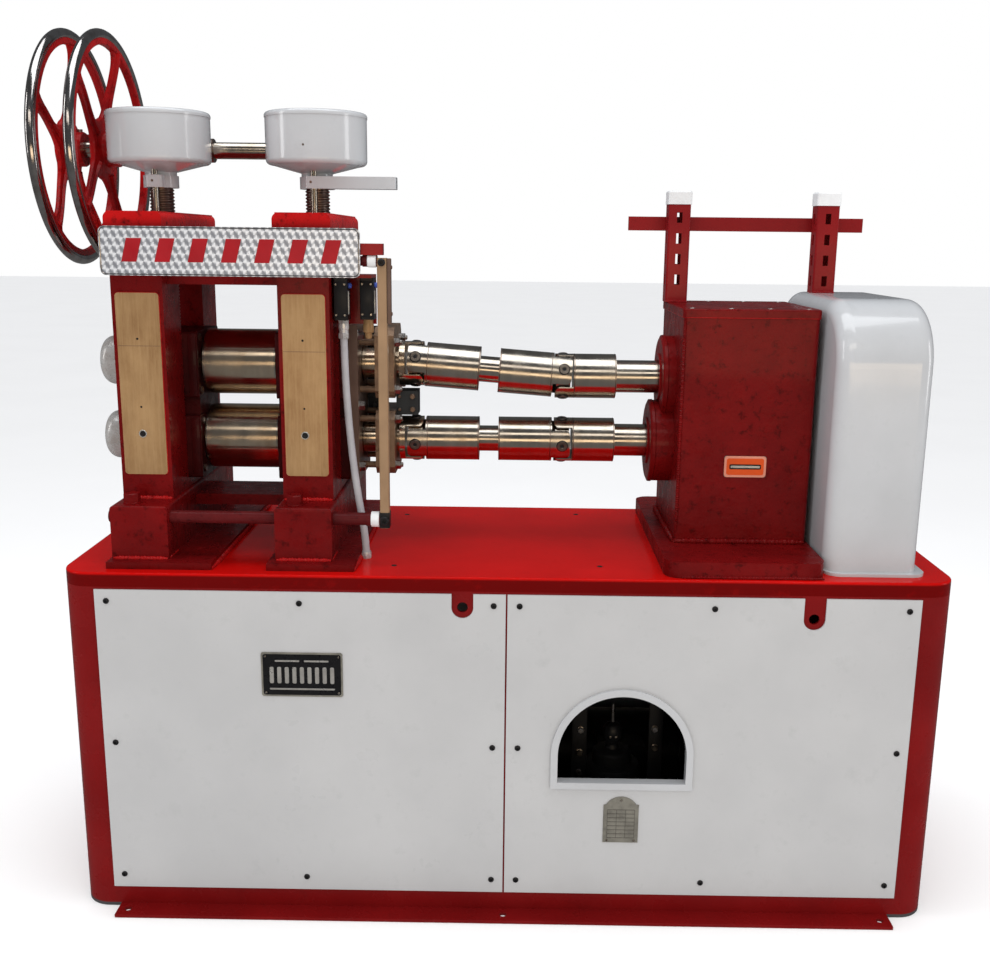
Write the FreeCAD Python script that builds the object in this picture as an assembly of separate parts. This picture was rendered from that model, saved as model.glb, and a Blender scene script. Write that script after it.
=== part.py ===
"""Two-high laboratory rolling mill on a sheet-metal cabinet, in millimetres.

Origin: centre of the cabinet's footprint, on the floor. +X runs along the
cabinet from the handwheels to the chain guard, +Y to the back, +Z up.
"""
import FreeCAD, Part
import math
import os

V = FreeCAD.Vector
X_AXIS = V(1, 0, 0)
Y_AXIS = V(0, 1, 0)
Z_AXIS = V(0, 0, 1)

# ---- cabinet ---------------------------------------------------------------
cabinet_length = 1524.0
cabinet_depth = 508.0
cabinet_height = 628.0          # floor to the top of the top plate
left_end_x = -cabinet_length / 2
right_end_x = cabinet_length / 2
corner_radius = 50.0
skin = 5.0
top_plate_thickness = 25.0
top_plate_edge_radius = 4.0
pan_thickness = 6.0
foot_rail_width = 38.0
foot_rail_inset = 72.0          # from each end of the cabinet
foot_rail_length = cabinet_length - 2 * foot_rail_inset
foot_bolt_inset = 18.0          # from each end of the rail
foot_bolt_spacing = foot_rail_length / 2 - foot_bolt_inset
foot_bolt_hole_radius = 6.5
stile_width = 107.0             # corner sheet seen from the front
upper_rail_height = 73.0
lower_rail_height = 84.0
mid_post_width = 70.0
panel_thickness = 3.0
panel_side_margin = 62.0
panel_seam = 3.0
panel_bottom = 40.0
panel_top = cabinet_height - 29.0
lifting_slot_width = 37.0
lifting_hole_radius = 9.0
lifting_hole_left = V(-75, 0, cabinet_height - 53)
lifting_hole_right = V(521, 0, cabinet_height - 66)

# ---- arched inspection window ----------------------------------------------
arch_center_x = 204.0
arch_radius = 112.0
arch_sill_z = 258.0
arch_spring_z = 308.0
arch_border = 12.0
arch_border_proud = 5.0
arch_collar = 3.0
arch_collar_depth = 14.0

# ---- plates ----------------------------------------------------------------
plate_thickness = 1.5
maker_plate_size = (140.0, 80.0)
maker_plate_center = (-350.0, cabinet_height - 177.0)
info_plate_size = (62.0, 88.0)
info_plate_center = (206.0, 187.0)
gear_label_size = (74.0, 38.0)
gear_label_center = (right_end_x - 343.0, 796.0)

# ---- drive inside the cabinet ----------------------------------------------
motor_radius = 82.0
motor_length = 300.0
motor_center = V(230, 60, 170)
reducer_size = V(150, 210, 240)
reducer_gap = 24.0              # shaft coupling between motor and reducer
motor_shaft_radius = 16.0

# ---- roll line -------------------------------------------------------------
line_y = 20.0                   # mid-plane of rolls, spindles and pinions
lower_axis_z = cabinet_height + 190.0
roll_diameter = 120.0
roll_gap = 20.0
pinion_distance = 120.0         # pitch diameter of the two equal pinions
neck_radius = 28.0
shaft_clearance = 0.08
upper_axis_z = lower_axis_z + roll_diameter + roll_gap
upper_pinion_z = lower_axis_z + pinion_distance

# ---- roll housings ---------------------------------------------------------
housing_spacing = 282.0
stand_center_x = left_end_x + 270.5
left_housing_x = stand_center_x - housing_spacing / 2
right_housing_x = stand_center_x + housing_spacing / 2
housing_width = 88.0
housing_depth = 340.0
window_width = 148.0
window_bottom = cabinet_height + 122.0
window_top = cabinet_height + 477.0
housing_top = cabinet_height + 597.0
crown_width = 98.0
crown_height = 90.0
crown_edge_radius = 12.0
foot_width = 98.0
foot_reach = 60.0               # beyond the post, front and back
foot_top = cabinet_height + 105.0
foot_edge_radius = 6.0
subplate_thickness = 12.0
subplate_reach = 22.0           # beyond the foot, front and back
subplate_inner = 78.0           # beyond the left foot, towards the rolls
subplate_outer = 40.0           # beyond the right foot, towards the spindles
subplate_edge = 4.0
pad_size = (74.0, 313.0)
pad_thickness = 3.0
pad_corner_radius = 6.0
pad_center_z = cabinet_height + 306.0
tie_top = (cabinet_height + 476.0, cabinet_height + 557.0)
tie_bottom = (cabinet_height + 67.0, cabinet_height + 87.0)
tie_top_y = (-120.0, 160.0)
tie_bottom_y = (-30.0, 84.0)

# ---- chocks, bearings and keeper -------------------------------------------
chock_side_clearance = 1.0
chock_flange = 27.0             # stands out of the housing towards the roll
chock_outer = 6.0
roll_side_gap = 4.0
lower_chock_above = 48.0        # above the lower roll axis
upper_chock_half = 60.0
packer_half_width = 62.0        # packing between the lower and upper chocks
end_cap_radius = 45.0
end_cap_length = 72.0
end_cap_dome = 20.0
keeper_gap = 18.0               # housing face to keeper plate
keeper_thickness = 16.0
keeper_half_width = 80.0
keeper_top = cabinet_height + 405.0
keeper_bore_radius = 34.0
bearing_gap = 29.0              # keeper plate to drive bearing
bearing_length = 35.0
bearing_half_width = 70.0
bearing_half_height = 58.0
bearing_corner = 14.0
bearing_stud_radius = 6.0
bearing_stud_inset = 15.0
joint_block_clearance = 7.0
keeper_x = right_housing_x + housing_width / 2 + keeper_gap
bearing_x = keeper_x + keeper_thickness + bearing_gap

# ---- universal joints ------------------------------------------------------
roll_joint_gap = 34.5           # drive bearing to joint centre
roll_joint_x = bearing_x + bearing_length + roll_joint_gap
pinion_joint_x = right_end_x - 663.0
spindle_tilt = math.atan2(upper_axis_z - upper_pinion_z, pinion_joint_x - roll_joint_x)
joint_radius = 41.0
ear_reach = 14.5                # joint centre to the ear's tip
fork_clearance = 1.5432         # tilted ear's tip to the other fork's root
fork_base = (ear_reach * math.cos(spindle_tilt) + joint_radius * math.sin(spindle_tilt)
             + fork_clearance)  # joint centre to the fork's root
ear_inner = 29.5
ear_half_width = 26.0
ear_tip_radius = 8.0
cross_half = 27.0
cross_half_length = 13.0
trunnion_radius = 9.5
trunnion_proud = 0.8
trunnion_clearance = 0.9        # tilting trunnion's end to the cross block
spindle_neck_radius = 24.0
spindle_neck_length = 36.0
roll_hub_length = 10.0
shaft_hub_length = 78.0
drive_shaft_radius = 30.0
drive_shaft_engagement = 32.0   # inside the pinion stand
upper_joint_phase = 23.0        # turns the spindle's ears about its axis
lower_joint_phase = -9.0

# ---- pinion stand ----------------------------------------------------------
pinion_x = (right_end_x - 462.0, right_end_x - 227.0)
pinion_y = (-113.0, 153.0)
pinion_top = cabinet_height + 444.0
pinion_edge_radius = 7.0
pinion_base_x = (right_end_x - 494.0, right_end_x - 222.0)
pinion_base_y = (-243.0, 250.0)
pinion_base_thickness = 28.0
pinion_base_corner = 28.0
pinion_weld = 5.0
boss_radius = 76.0
upper_boss_face_x = pinion_x[0] - 23.0
lower_boss_face_x = pinion_x[0] - 41.0
boss_edge_radius = 7.0
cover_thickness = 15.0

# ---- chain guard -----------------------------------------------------------
guard_x = (right_end_x - 217.0, right_end_x - 56.0)
guard_y = (-210.0, 250.0)
guard_top = cabinet_height + 464.0
guard_shoulder_radius = 110.0
guard_edge_radius = 26.0
guard_flange_width = 12.0        # in front of and to the right of the hood
guard_flange_thickness = 5.0

# ---- uprights on the pinion stand and the guard ----------------------------
upright_size = 41.3
upright_wall = 2.5
upright_y = 110.0
upright_x = (right_end_x - 448.0, right_end_x - 171.0)      # centres
upright_top = cabinet_height + 624.0
upright_slot = (10.0, 19.0)
upright_slot_pitch = 38.1
upright_slot_count = 4
upright_slot_first = 24.0       # below the top
cap_height = 25.0
cap_lip = 1.5
cross_bar_x = (right_end_x - 539.0, right_end_x - 94.0)
cross_bar_height = 26.0
cross_bar_thickness = 5.0
cross_bar_z = cabinet_height + 589.0

# ---- screwdown gear on top --------------------------------------------------
drum_radius = 91.0
drum_bottom = cabinet_height + 682.0
drum_top = cabinet_height + 772.0
lid_height = 9.0
lid_groove = 1.0
drum_edge_radius = 9.0
drum_shoulder_radius = 84.0     # top of the shallow cone under the drum
drum_cone_height = 14.0
drum_neck_radius = 28.0
collar_radius = 31.0
collar_bottom = cabinet_height + 641.0
collar_top = cabinet_height + 662.0
collar_lug_reach = 47.0
collar_lug_width = 30.0
collar_arm_reach = 146.0
collar_arm_width = 34.0
screw_radius = 22.0
guide_rod_radius = 5.5
guide_rod_offset = 36.0         # in front of the screw
worm_offset = 62.0              # behind the screw
worm_z = cabinet_height + 711.0
cross_shaft_radius = 15.0
sleeve_radius = 23.0
sleeve_depth = 22.0             # into the left gear drum
cross_shaft_depth = 60.0        # into the right gear drum

# ---- handwheels ------------------------------------------------------------
wheel_radius = 208.0
wheel_rim_radius = 9.0
wheel_band = 9.0
wheel_band_thickness = 14.0
wheel_hub_radius = 31.0
wheel_hub_length = 36.0
wheel_spokes = 5
wheel_dish = 14.0               # hub behind the rim, away from the gear drums
wheel_web_radius = 56.0
spoke_width = 26.0
spoke_thickness = 12.0
inner_wheel_phase = -18.0       # turns one spoke from upright, about +X
outer_wheel_phase = -4.0
inner_wheel_gap = 18.5          # left gear drum to the inner wheel's mid-plane
wheel_spacing = 64.0
inner_wheel_x = left_housing_x - drum_radius - inner_wheel_gap
outer_wheel_x = inner_wheel_x - wheel_spacing

# ---- stop bar --------------------------------------------------------------
stop_y = -185.0
stop_pivot_z = cabinet_height + 82.0
stop_pivot_radius = 11.0
stop_rail_z = cabinet_height + 520.0
stop_rail_radius = 8.0
sign_x = (stand_center_x - 180.5, stand_center_x + 245.5)
sign_z = (cabinet_height + 493.0, cabinet_height + 572.0)
sign_thickness = 4.0
sign_front_y = -204.0
sign_corner_radius = 10.0
lever_x = (stand_center_x + 271.5, stand_center_x + 287.5)
lever_depth = 20.0
lever_foot = 14.0
stop_collar_radius = 12.5
stop_collar_length = 12.0
stop_clip_width = 20.0

# ---- limit switches and their conduit --------------------------------------
switch_size = V(24, 38, 72)
switch_bottom = cabinet_height + 418.0
switch_front_center = V(right_housing_x + 59.5, -108, 0)
switch_back_center = V(right_housing_x + 101.5, -84, 0)
switch_bracket_thickness = 5.0
conduit_radius = 6.5
conduit_nut_radius = 9.5
conduit_nut_height = 32.0
conduit_gland_height = 12.0
conduit_points = [
    V(right_housing_x + 61.5, -108, 1014),
    V(right_housing_x + 62.5, -109, 956),
    V(right_housing_x + 66.5, -113, 888),
    V(right_housing_x + 73.5, -120, 816),
    V(right_housing_x + 83.5, -129, 744),
    V(right_housing_x + 93.5, -137, 692),
    V(right_housing_x + 98.5, -141, 656),
    V(right_housing_x + 99.5, -142, 628),
]

front_y = -cabinet_depth / 2
back_y = cabinet_depth / 2
half_length = cabinet_length / 2
plate_bottom = cabinet_height - top_plate_thickness
post_front_y = line_y - housing_depth / 2
post_back_y = line_y + housing_depth / 2
housing_bottom = cabinet_height + subplate_thickness
roll_left_x = left_housing_x + housing_width / 2 + chock_flange + roll_side_gap
roll_right_x = right_housing_x - housing_width / 2 - chock_flange - roll_side_gap
worm_y = line_y + worm_offset


# ---- shape helpers ---------------------------------------------------------
def box(x0, x1, y0, y1, z0, z1):
    return Part.makeBox(x1 - x0, y1 - y0, z1 - z0, V(x0, y0, z0))


def rod_x(radius, x0, x1, y, z):
    return Part.makeCylinder(radius, x1 - x0, V(x0, y, z), X_AXIS)


def rod_y(radius, y0, y1, x, z):
    return Part.makeCylinder(radius, y1 - y0, V(x, y0, z), Y_AXIS)


def rod_z(radius, z0, z1, x, y):
    return Part.makeCylinder(radius, z1 - z0, V(x, y, z0), Z_AXIS)


def fuse(shapes):
    return shapes[0].multiFuse(shapes[1:]).removeSplitter()


def straight_edges(shape, direction, wanted=lambda middle: True):
    found = []
    for edge in shape.Edges:
        if edge.Curve.TypeId != "Part::GeomLine":
            continue
        along = abs(edge.tangentAt(edge.FirstParameter).dot(direction))
        if along > 0.999 and wanted(edge.CenterOfMass):
            found.append(edge)
    return found


def rounded(shape, direction, radius, wanted=lambda middle: True):
    return shape.makeFillet(radius, straight_edges(shape, direction, wanted))


def rounded_box(x0, x1, y0, y1, z0, z1, radius, direction=Z_AXIS):
    return rounded(box(x0, x1, y0, y1, z0, z1), direction, radius)


def face_edges(shape, height):
    """Edges of a shape that lie wholly at one height."""
    found = []
    for edge in shape.Edges:
        bounds = edge.BoundBox
        if abs(bounds.ZMin - height) < 0.01 and abs(bounds.ZMax - height) < 0.01:
            found.append(edge)
    return found


def mirrored_y(shape, y):
    return shape.mirror(V(0, y, 0), Y_AXIS)


def write(name, shapes):
    solids = []
    for shape in shapes:
        solids.extend(shape.Solids)
    result = solids[0] if len(solids) == 1 else Part.makeCompound(solids)
    result.exportStep("parts/%s.step" % name)
    print("%-20s solids %d  valid %s  volume %.0f cm3"
          % (name, len(solids), result.isValid(), result.Volume / 1000))


# ---- cabinet ---------------------------------------------------------------
def base_pan():
    return rounded_box(-half_length, half_length, front_y, back_y,
                       0, pan_thickness, corner_radius)


def foot_rail():
    rail = box(-foot_rail_length / 2, foot_rail_length / 2,
               front_y - foot_rail_width, front_y, 0, pan_thickness)
    for column in (-1, 0, 1):
        rail = rail.cut(rod_z(foot_bolt_hole_radius, -1, pan_thickness + 1,
                              column * foot_bolt_spacing,
                              front_y - foot_rail_width / 2))
    return rail


def cabinet_end_left():
    outer = rounded_box(-half_length, half_length, front_y, back_y,
                        pan_thickness, plate_bottom, corner_radius)
    inner = rounded_box(-half_length + skin, half_length - skin,
                        front_y + skin, back_y - skin,
                        pan_thickness - 1, plate_bottom + 1, corner_radius - skin)
    end = box(-half_length, -half_length + stile_width, front_y, back_y,
              pan_thickness, plate_bottom)
    return outer.cut(inner).common(end)


def front_rail(z0, z1):
    reach = half_length - stile_width
    rail = box(-reach, reach, front_y, front_y + skin, z0, z1)
    for hole in (lifting_hole_left, lifting_hole_right):
        if z0 < hole.z < z1:
            rail = rail.cut(rod_y(lifting_hole_radius, front_y - 1,
                                  front_y + skin + 1, hole.x, hole.z))
    return rail


def back_rail(z0, z1):
    reach = half_length - stile_width
    return box(-reach, reach, back_y - skin, back_y, z0, z1)


def mid_post():
    return box(-mid_post_width / 2, mid_post_width / 2, front_y, front_y + skin,
               pan_thickness + lower_rail_height, plate_bottom - upper_rail_height)


def top_plate():
    plate = rounded_box(-half_length, half_length, front_y, back_y,
                        plate_bottom, cabinet_height, corner_radius)
    return plate.makeFillet(top_plate_edge_radius, face_edges(plate, cabinet_height))


def lifting_slot(hole):
    half = lifting_slot_width / 2
    y0 = front_y - panel_thickness - 1
    y1 = front_y + 1
    return box(hole.x - half, hole.x + half, y0, y1, hole.z, panel_top + 1).fuse(
        rod_y(half, y0, y1, hole.x, hole.z))


def arch_solid(grow, y0, y1):
    """The window's outline, grown by a margin, as a block through the panel."""
    radius = arch_radius + grow
    arch = rod_y(radius, y0, y1, arch_center_x, arch_spring_z)
    legs = box(arch_center_x - radius, arch_center_x + radius, y0, y1,
               arch_sill_z - grow, arch_spring_z)
    below = box(arch_center_x - 2 * radius, arch_center_x + 2 * radius, y0 - 1, y1 + 1,
                arch_spring_z - 2 * radius, arch_spring_z)
    return arch.cut(below).fuse(legs).removeSplitter()


def front_panel(side):
    outer = half_length - panel_side_margin
    x0 = -outer if side < 0 else panel_seam / 2
    x1 = -panel_seam / 2 if side < 0 else outer
    panel = box(x0, x1, front_y - panel_thickness, front_y, panel_bottom, panel_top)
    if side < 0:
        return panel.cut(lifting_slot(lifting_hole_left))
    panel = panel.cut(lifting_slot(lifting_hole_right))
    return panel.cut(arch_solid(arch_collar, front_y - panel_thickness - 1, front_y + 1))


def back_panel(side):
    outer = half_length - panel_side_margin
    x0 = -outer if side < 0 else panel_seam / 2
    x1 = -panel_seam / 2 if side < 0 else outer
    return box(x0, x1, back_y, back_y + panel_thickness, panel_bottom, panel_top)


def arch_trim():
    face = front_y - panel_thickness
    border = arch_solid(arch_border, face - arch_border_proud, face)
    collar = arch_solid(arch_collar, face, face + arch_collar_depth)
    window = arch_solid(0, face - arch_border_proud - 1, face + arch_collar_depth + 1)
    return border.fuse(collar).cut(window).removeSplitter()


def front_plate(size, center, face_y):
    return rounded_box(center[0] - size[0] / 2, center[0] + size[0] / 2,
                       face_y - plate_thickness, face_y,
                       center[1] - size[1] / 2, center[1] + size[1] / 2,
                       4, Y_AXIS)


def info_plate(face_y):
    width, height = info_plate_size
    x, z = info_plate_center
    body = box(x - width / 2, x + width / 2, face_y - plate_thickness, face_y,
               z - height / 2, z + height / 2 - width / 4)
    crest = rod_y(width / 2, face_y - plate_thickness, face_y, x, z + height / 2 - width / 2)
    return body.fuse(crest).removeSplitter()


def nameplates():
    panel_face = front_y - panel_thickness
    return [
        front_plate(maker_plate_size, maker_plate_center, panel_face),
        info_plate(panel_face),
        front_plate(gear_label_size, gear_label_center, pinion_y[0]),
    ]


# ---- drive inside the cabinet ----------------------------------------------
def drive_motor():
    x0 = motor_center.x - motor_length / 2
    x1 = motor_center.x + motor_length / 2
    frame = rod_x(motor_radius, x0 + 20, x1 - 40, motor_center.y, motor_center.z)
    nose = rod_x(motor_radius * 0.8, x0, x0 + 20, motor_center.y, motor_center.z)
    bell = rod_x(motor_radius * 0.9, x1 - 40, x1, motor_center.y, motor_center.z)
    shaft = rod_x(motor_shaft_radius, x1, x1 + reducer_gap, motor_center.y, motor_center.z)
    foot = box(x0 + 50, x1 - 70, motor_center.y - 75, motor_center.y + 75,
               pan_thickness, motor_center.z - 30)
    terminal = box(motor_center.x - 50, motor_center.x + 40,
                   motor_center.y - motor_radius - 34, motor_center.y - 40,
                   motor_center.z - 20, motor_center.z + 60)
    return fuse([frame, nose, bell, shaft, foot, terminal])


def gear_reducer():
    x0 = motor_center.x + motor_length / 2 + reducer_gap
    case = rounded_box(x0, x0 + reducer_size.x,
                       motor_center.y - reducer_size.y / 2,
                       motor_center.y + reducer_size.y / 2,
                       pan_thickness + 18, pan_thickness + reducer_size.z, 24, X_AXIS)
    plinth = box(x0 - 10, x0 + reducer_size.x + 20,
                 motor_center.y - reducer_size.y / 2 - 12,
                 motor_center.y + reducer_size.y / 2 + 12,
                 pan_thickness, pan_thickness + 18)
    return fuse([case, plinth])


# ---- roll stand ------------------------------------------------------------
def subplates():
    y0 = post_front_y - foot_reach - subplate_reach
    y1 = min(post_back_y + foot_reach + subplate_reach, back_y)
    edge = foot_width / 2 + subplate_edge
    left = box(left_housing_x - edge, left_housing_x + foot_width / 2 + subplate_inner,
               y0, y1, cabinet_height, housing_bottom)
    right = box(right_housing_x - edge - 8, right_housing_x + foot_width / 2 + subplate_outer,
                y0, y1, cabinet_height, housing_bottom)
    return [left, right]


def housing(center_x):
    half = housing_width / 2
    frame = box(center_x - half, center_x + half, post_front_y, post_back_y,
                foot_top, housing_top)
    crown_half = crown_width / 2
    crown = box(center_x - crown_half, center_x + crown_half, post_front_y - 2,
                post_back_y + 2, housing_top - crown_height, housing_top)
    crown = rounded(crown, Y_AXIS, crown_edge_radius, lambda m: m.z > housing_top - 1)
    foot_half = foot_width / 2
    foot = box(center_x - foot_half, center_x + foot_half, post_front_y - foot_reach,
               post_back_y + foot_reach, housing_bottom, foot_top)
    foot = foot.makeFillet(foot_edge_radius, face_edges(foot, foot_top))
    body = fuse([frame, crown, foot])
    window = box(center_x - foot_half - 1, center_x + foot_half + 1,
                 line_y - window_width / 2, line_y + window_width / 2,
                 window_bottom, window_top)
    screw_hole = rod_z(screw_radius + shaft_clearance, window_top - 1, housing_top + 1,
                       center_x, line_y)
    rod_hole = rod_z(guide_rod_radius + shaft_clearance, housing_top - 12, housing_top + 1,
                     center_x, line_y - guide_rod_offset)
    pivot = rod_x(stop_pivot_radius + shaft_clearance, center_x - foot_half - 1,
                  center_x + foot_half + 1, stop_y, stop_pivot_z)
    return body.cut(window).cut(screw_hole).cut(rod_hole).cut(pivot)


def post_pad(center_x):
    width, height = pad_size
    return rounded_box(center_x - width / 2, center_x + width / 2,
                       post_front_y - pad_thickness, post_front_y,
                       pad_center_z - height / 2, pad_center_z + height / 2,
                       pad_corner_radius, Y_AXIS)


def tie_beams():
    x0 = left_housing_x + housing_width / 2
    x1 = right_housing_x - housing_width / 2
    foot_overlap = (foot_width - housing_width) / 2
    upper = box(x0, x1, tie_top_y[0], tie_top_y[1], tie_top[0], tie_top[1])
    crown = box(x0 - 1, x0 + foot_overlap, post_front_y - 9, post_back_y + 9,
                housing_top - crown_height, housing_top)
    upper = upper.cut(crown).cut(crown.translated(V(x1 - x0 - foot_overlap + 1, 0, 0)))
    lower = box(x0 + foot_overlap, x1 - foot_overlap, tie_bottom_y[0], tie_bottom_y[1],
                tie_bottom[0], tie_bottom[1])
    return [upper, lower]


def chock(x0, x1, z0, z1, axis_z):
    half = window_width / 2 - chock_side_clearance
    block = box(x0, x1, line_y - half, line_y + half, z0, z1)
    block = rounded(block, X_AXIS, 6)
    return block.cut(rod_x(neck_radius + shaft_clearance, x0 - 1, x1 + 1, line_y, axis_z))


def chocks(x0, x1):
    lower = chock(x0, x1, window_bottom, lower_axis_z + lower_chock_above, lower_axis_z)
    upper = chock(x0, x1, upper_axis_z - upper_chock_half,
                  upper_axis_z + upper_chock_half, upper_axis_z)
    packer = box(x0 + 2, x1 - 2, line_y - packer_half_width, line_y + packer_half_width,
                 lower_axis_z + lower_chock_above, upper_axis_z - upper_chock_half)
    return [lower, packer, upper]


def left_chocks():
    return chocks(left_housing_x - housing_width / 2 - chock_outer,
                  left_housing_x + housing_width / 2 + chock_flange)


def right_chocks():
    return chocks(right_housing_x - housing_width / 2 - chock_flange, keeper_x)


def roll_end_cap(axis_z):
    x1 = left_housing_x - housing_width / 2 - chock_outer
    x0 = x1 - end_cap_length
    cap = rod_x(end_cap_radius, x0, x1, line_y, axis_z)
    cap = cap.makeFillet(end_cap_dome, [e for e in cap.Edges if abs(e.BoundBox.XMax - x0) < 0.01])
    return cap.cut(rod_x(neck_radius + shaft_clearance, x1 - 22, x1 + 1, line_y, axis_z))


def keeper_plate():
    plate = box(keeper_x, keeper_x + keeper_thickness, line_y - keeper_half_width,
                line_y + keeper_half_width, window_bottom, keeper_top)
    for axis_z in (lower_axis_z, upper_axis_z):
        plate = plate.cut(rod_x(keeper_bore_radius, keeper_x - 1,
                                keeper_x + keeper_thickness + 1, line_y, axis_z))
    return plate


def drive_bearing(axis_z, above):
    x1 = bearing_x + bearing_length
    block = box(bearing_x, x1, line_y - bearing_half_width, line_y + bearing_half_width,
                axis_z - bearing_half_height, axis_z + above)
    block = block.makeChamfer(bearing_corner, straight_edges(block, X_AXIS))
    studs = []
    for side in (-1, 1):
        for level in (-1, 1):
            studs.append(rod_x(bearing_stud_radius, keeper_x + keeper_thickness, bearing_x,
                               line_y + side * (bearing_half_width - bearing_stud_inset - 5),
                               axis_z + level * (bearing_half_height - bearing_stud_inset)))
    bore = rod_x(neck_radius + shaft_clearance, bearing_x - 1, x1 + 1, line_y, axis_z)
    return fuse([block] + studs).cut(bore)


def joint_block():
    """Rubber-faced stop between the two roll-side universal joints."""
    x0 = bearing_x + bearing_length
    z0 = lower_axis_z + joint_radius + joint_block_clearance
    z1 = upper_axis_z - joint_radius - joint_block_clearance
    return box(x0, x0 + 40, line_y - 34, line_y + 14, z0, z1)


# ---- universal joints, rolls, spindles and drive shafts --------------------
def fork_ears():
    """Two ears about a joint centre at the origin; their body lies towards +X."""
    outer = rod_x(joint_radius, -ear_reach, fork_base, 0, 0)
    slab = box(-ear_reach, fork_base, -ear_half_width, ear_half_width,
               ear_inner, joint_radius + 1)
    slab = rounded(slab, Z_AXIS, ear_tip_radius, lambda m: m.x < 0)
    other = slab.mirror(V(0, 0, 0), Z_AXIS)
    return [outer.common(slab), outer.common(other)]


def trunnion(z0, z1):
    return rod_z(trunnion_radius, z0, z1, 0, 0)


def driving_fork():
    """Fork with the joint's cross block and both of its own trunnions."""
    block = box(-cross_half_length, cross_half_length, -cross_half, cross_half,
                -cross_half, cross_half)
    block = block.makeChamfer(4, straight_edges(block, X_AXIS))
    pin = trunnion(-joint_radius - trunnion_proud, joint_radius + trunnion_proud)
    return fork_ears() + [block, pin]


def driven_fork():
    """Fork whose trunnions stop short of the cross block, which tilts beside them."""
    head = trunnion(cross_half + trunnion_clearance, joint_radius + trunnion_proud)
    return fork_ears() + [head, head.mirror(V(0, 0, 0), Z_AXIS)]


def placed(shapes, x, y, z, phase, turned=False):
    """Turns shapes about X by a phase, faces them to -X if asked, and moves them."""
    moved = []
    for shape in shapes:
        copy = shape.copy()
        if turned:
            copy.rotate(V(0, 0, 0), Z_AXIS, 180)
        copy.rotate(V(0, 0, 0), X_AXIS, 90 - phase)
        copy.translate(V(x, y, z))
        moved.append(copy)
    return moved


def roll(axis_z, phase):
    hub_root = roll_joint_x - fork_base
    body = rod_x(roll_diameter / 2, roll_left_x, roll_right_x, line_y, axis_z)
    neck = rod_x(neck_radius, left_housing_x - housing_width / 2 - chock_outer - 18,
                 hub_root, line_y, axis_z)
    hub = rod_x(joint_radius, hub_root - roll_hub_length, hub_root, line_y, axis_z)
    fork = placed(driving_fork(), roll_joint_x, line_y, axis_z, phase + 90, turned=True)
    return fuse([body, neck, hub] + fork)


def drive_shaft(axis_z, phase, engagement_x):
    hub_root = pinion_joint_x + fork_base
    hub = rod_x(joint_radius, hub_root, hub_root + shaft_hub_length, line_y, axis_z)
    shaft = rod_x(drive_shaft_radius, hub_root + shaft_hub_length, engagement_x,
                  line_y, axis_z)
    fork = placed(driving_fork(), pinion_joint_x, line_y, axis_z, phase + 90)
    return fuse([hub, shaft] + fork)


def spindle(roll_axis_z, pinion_axis_z, phase):
    run = pinion_joint_x - roll_joint_x
    drop = roll_axis_z - pinion_axis_z
    length = math.hypot(run, drop)
    tilt = math.degrees(math.atan2(drop, run))
    middle = length / 2
    half_neck = spindle_neck_length / 2
    left = rod_x(joint_radius, fork_base, middle - half_neck, 0, 0)
    neck = rod_x(spindle_neck_radius, middle - half_neck, middle + half_neck, 0, 0)
    right = rod_x(joint_radius, middle + half_neck, length - fork_base, 0, 0)
    near = placed(driven_fork(), 0, 0, 0, phase)
    far = placed(driven_fork(), length, 0, 0, phase, turned=True)
    whole = fuse([left, neck, right] + near + far)
    whole.rotate(V(0, 0, 0), Y_AXIS, tilt)
    whole.translate(V(roll_joint_x, line_y, roll_axis_z))
    return whole


# ---- pinion stand and guard ------------------------------------------------
def pinion_stand():
    cover_bottom = pinion_top - cover_thickness
    case = box(pinion_x[0], pinion_x[1], pinion_y[0], pinion_y[1],
               cabinet_height + pinion_base_thickness, cover_bottom)
    case = rounded(case, Z_AXIS, pinion_edge_radius)
    base = rounded_box(pinion_base_x[0], pinion_base_x[1], pinion_base_y[0],
                       pinion_base_y[1], cabinet_height,
                       cabinet_height + pinion_base_thickness, pinion_base_corner)
    weld = weld_bead(cabinet_height + pinion_base_thickness)
    upper = rod_x(boss_radius, upper_boss_face_x, pinion_x[0] + 1, line_y, upper_pinion_z)
    lower = rod_x(boss_radius, lower_boss_face_x, pinion_x[0] + 1, line_y, lower_axis_z)
    upper = upper.makeFillet(boss_edge_radius, rim_edges(upper, upper_boss_face_x))
    lower = lower.makeFillet(boss_edge_radius, rim_edges(lower, lower_boss_face_x))
    body = fuse([case, base, weld, upper, lower])
    for axis_z, face_x in ((upper_pinion_z, upper_boss_face_x),
                           (lower_axis_z, lower_boss_face_x)):
        body = body.cut(rod_x(drive_shaft_radius + shaft_clearance, face_x - 1,
                              pinion_x[0] + drive_shaft_engagement + 4, line_y, axis_z))
    return body


def weld_bead(z):
    """Bevelled weld where the gear case meets its base flange."""
    bead = rounded_box(pinion_x[0] - pinion_weld, pinion_x[1] - 1, pinion_y[0] - pinion_weld,
                       pinion_y[1] + pinion_weld, z - 1, z + pinion_weld,
                       pinion_edge_radius + pinion_weld)
    return bead.makeChamfer(pinion_weld - 1, face_edges(bead, z + pinion_weld))


def rim_edges(shape, x):
    return [e for e in shape.Edges
            if abs(e.BoundBox.XMax - x) < 0.01 and abs(e.BoundBox.XMin - x) < 0.01]


def pinion_cover():
    cover = rounded_box(pinion_x[0] - 2, pinion_x[1] + 2, pinion_y[0] - 2, pinion_y[1] + 2,
                        pinion_top - cover_thickness, pinion_top, pinion_edge_radius)
    return cover.makeFillet(3, face_edges(cover, pinion_top))


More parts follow.
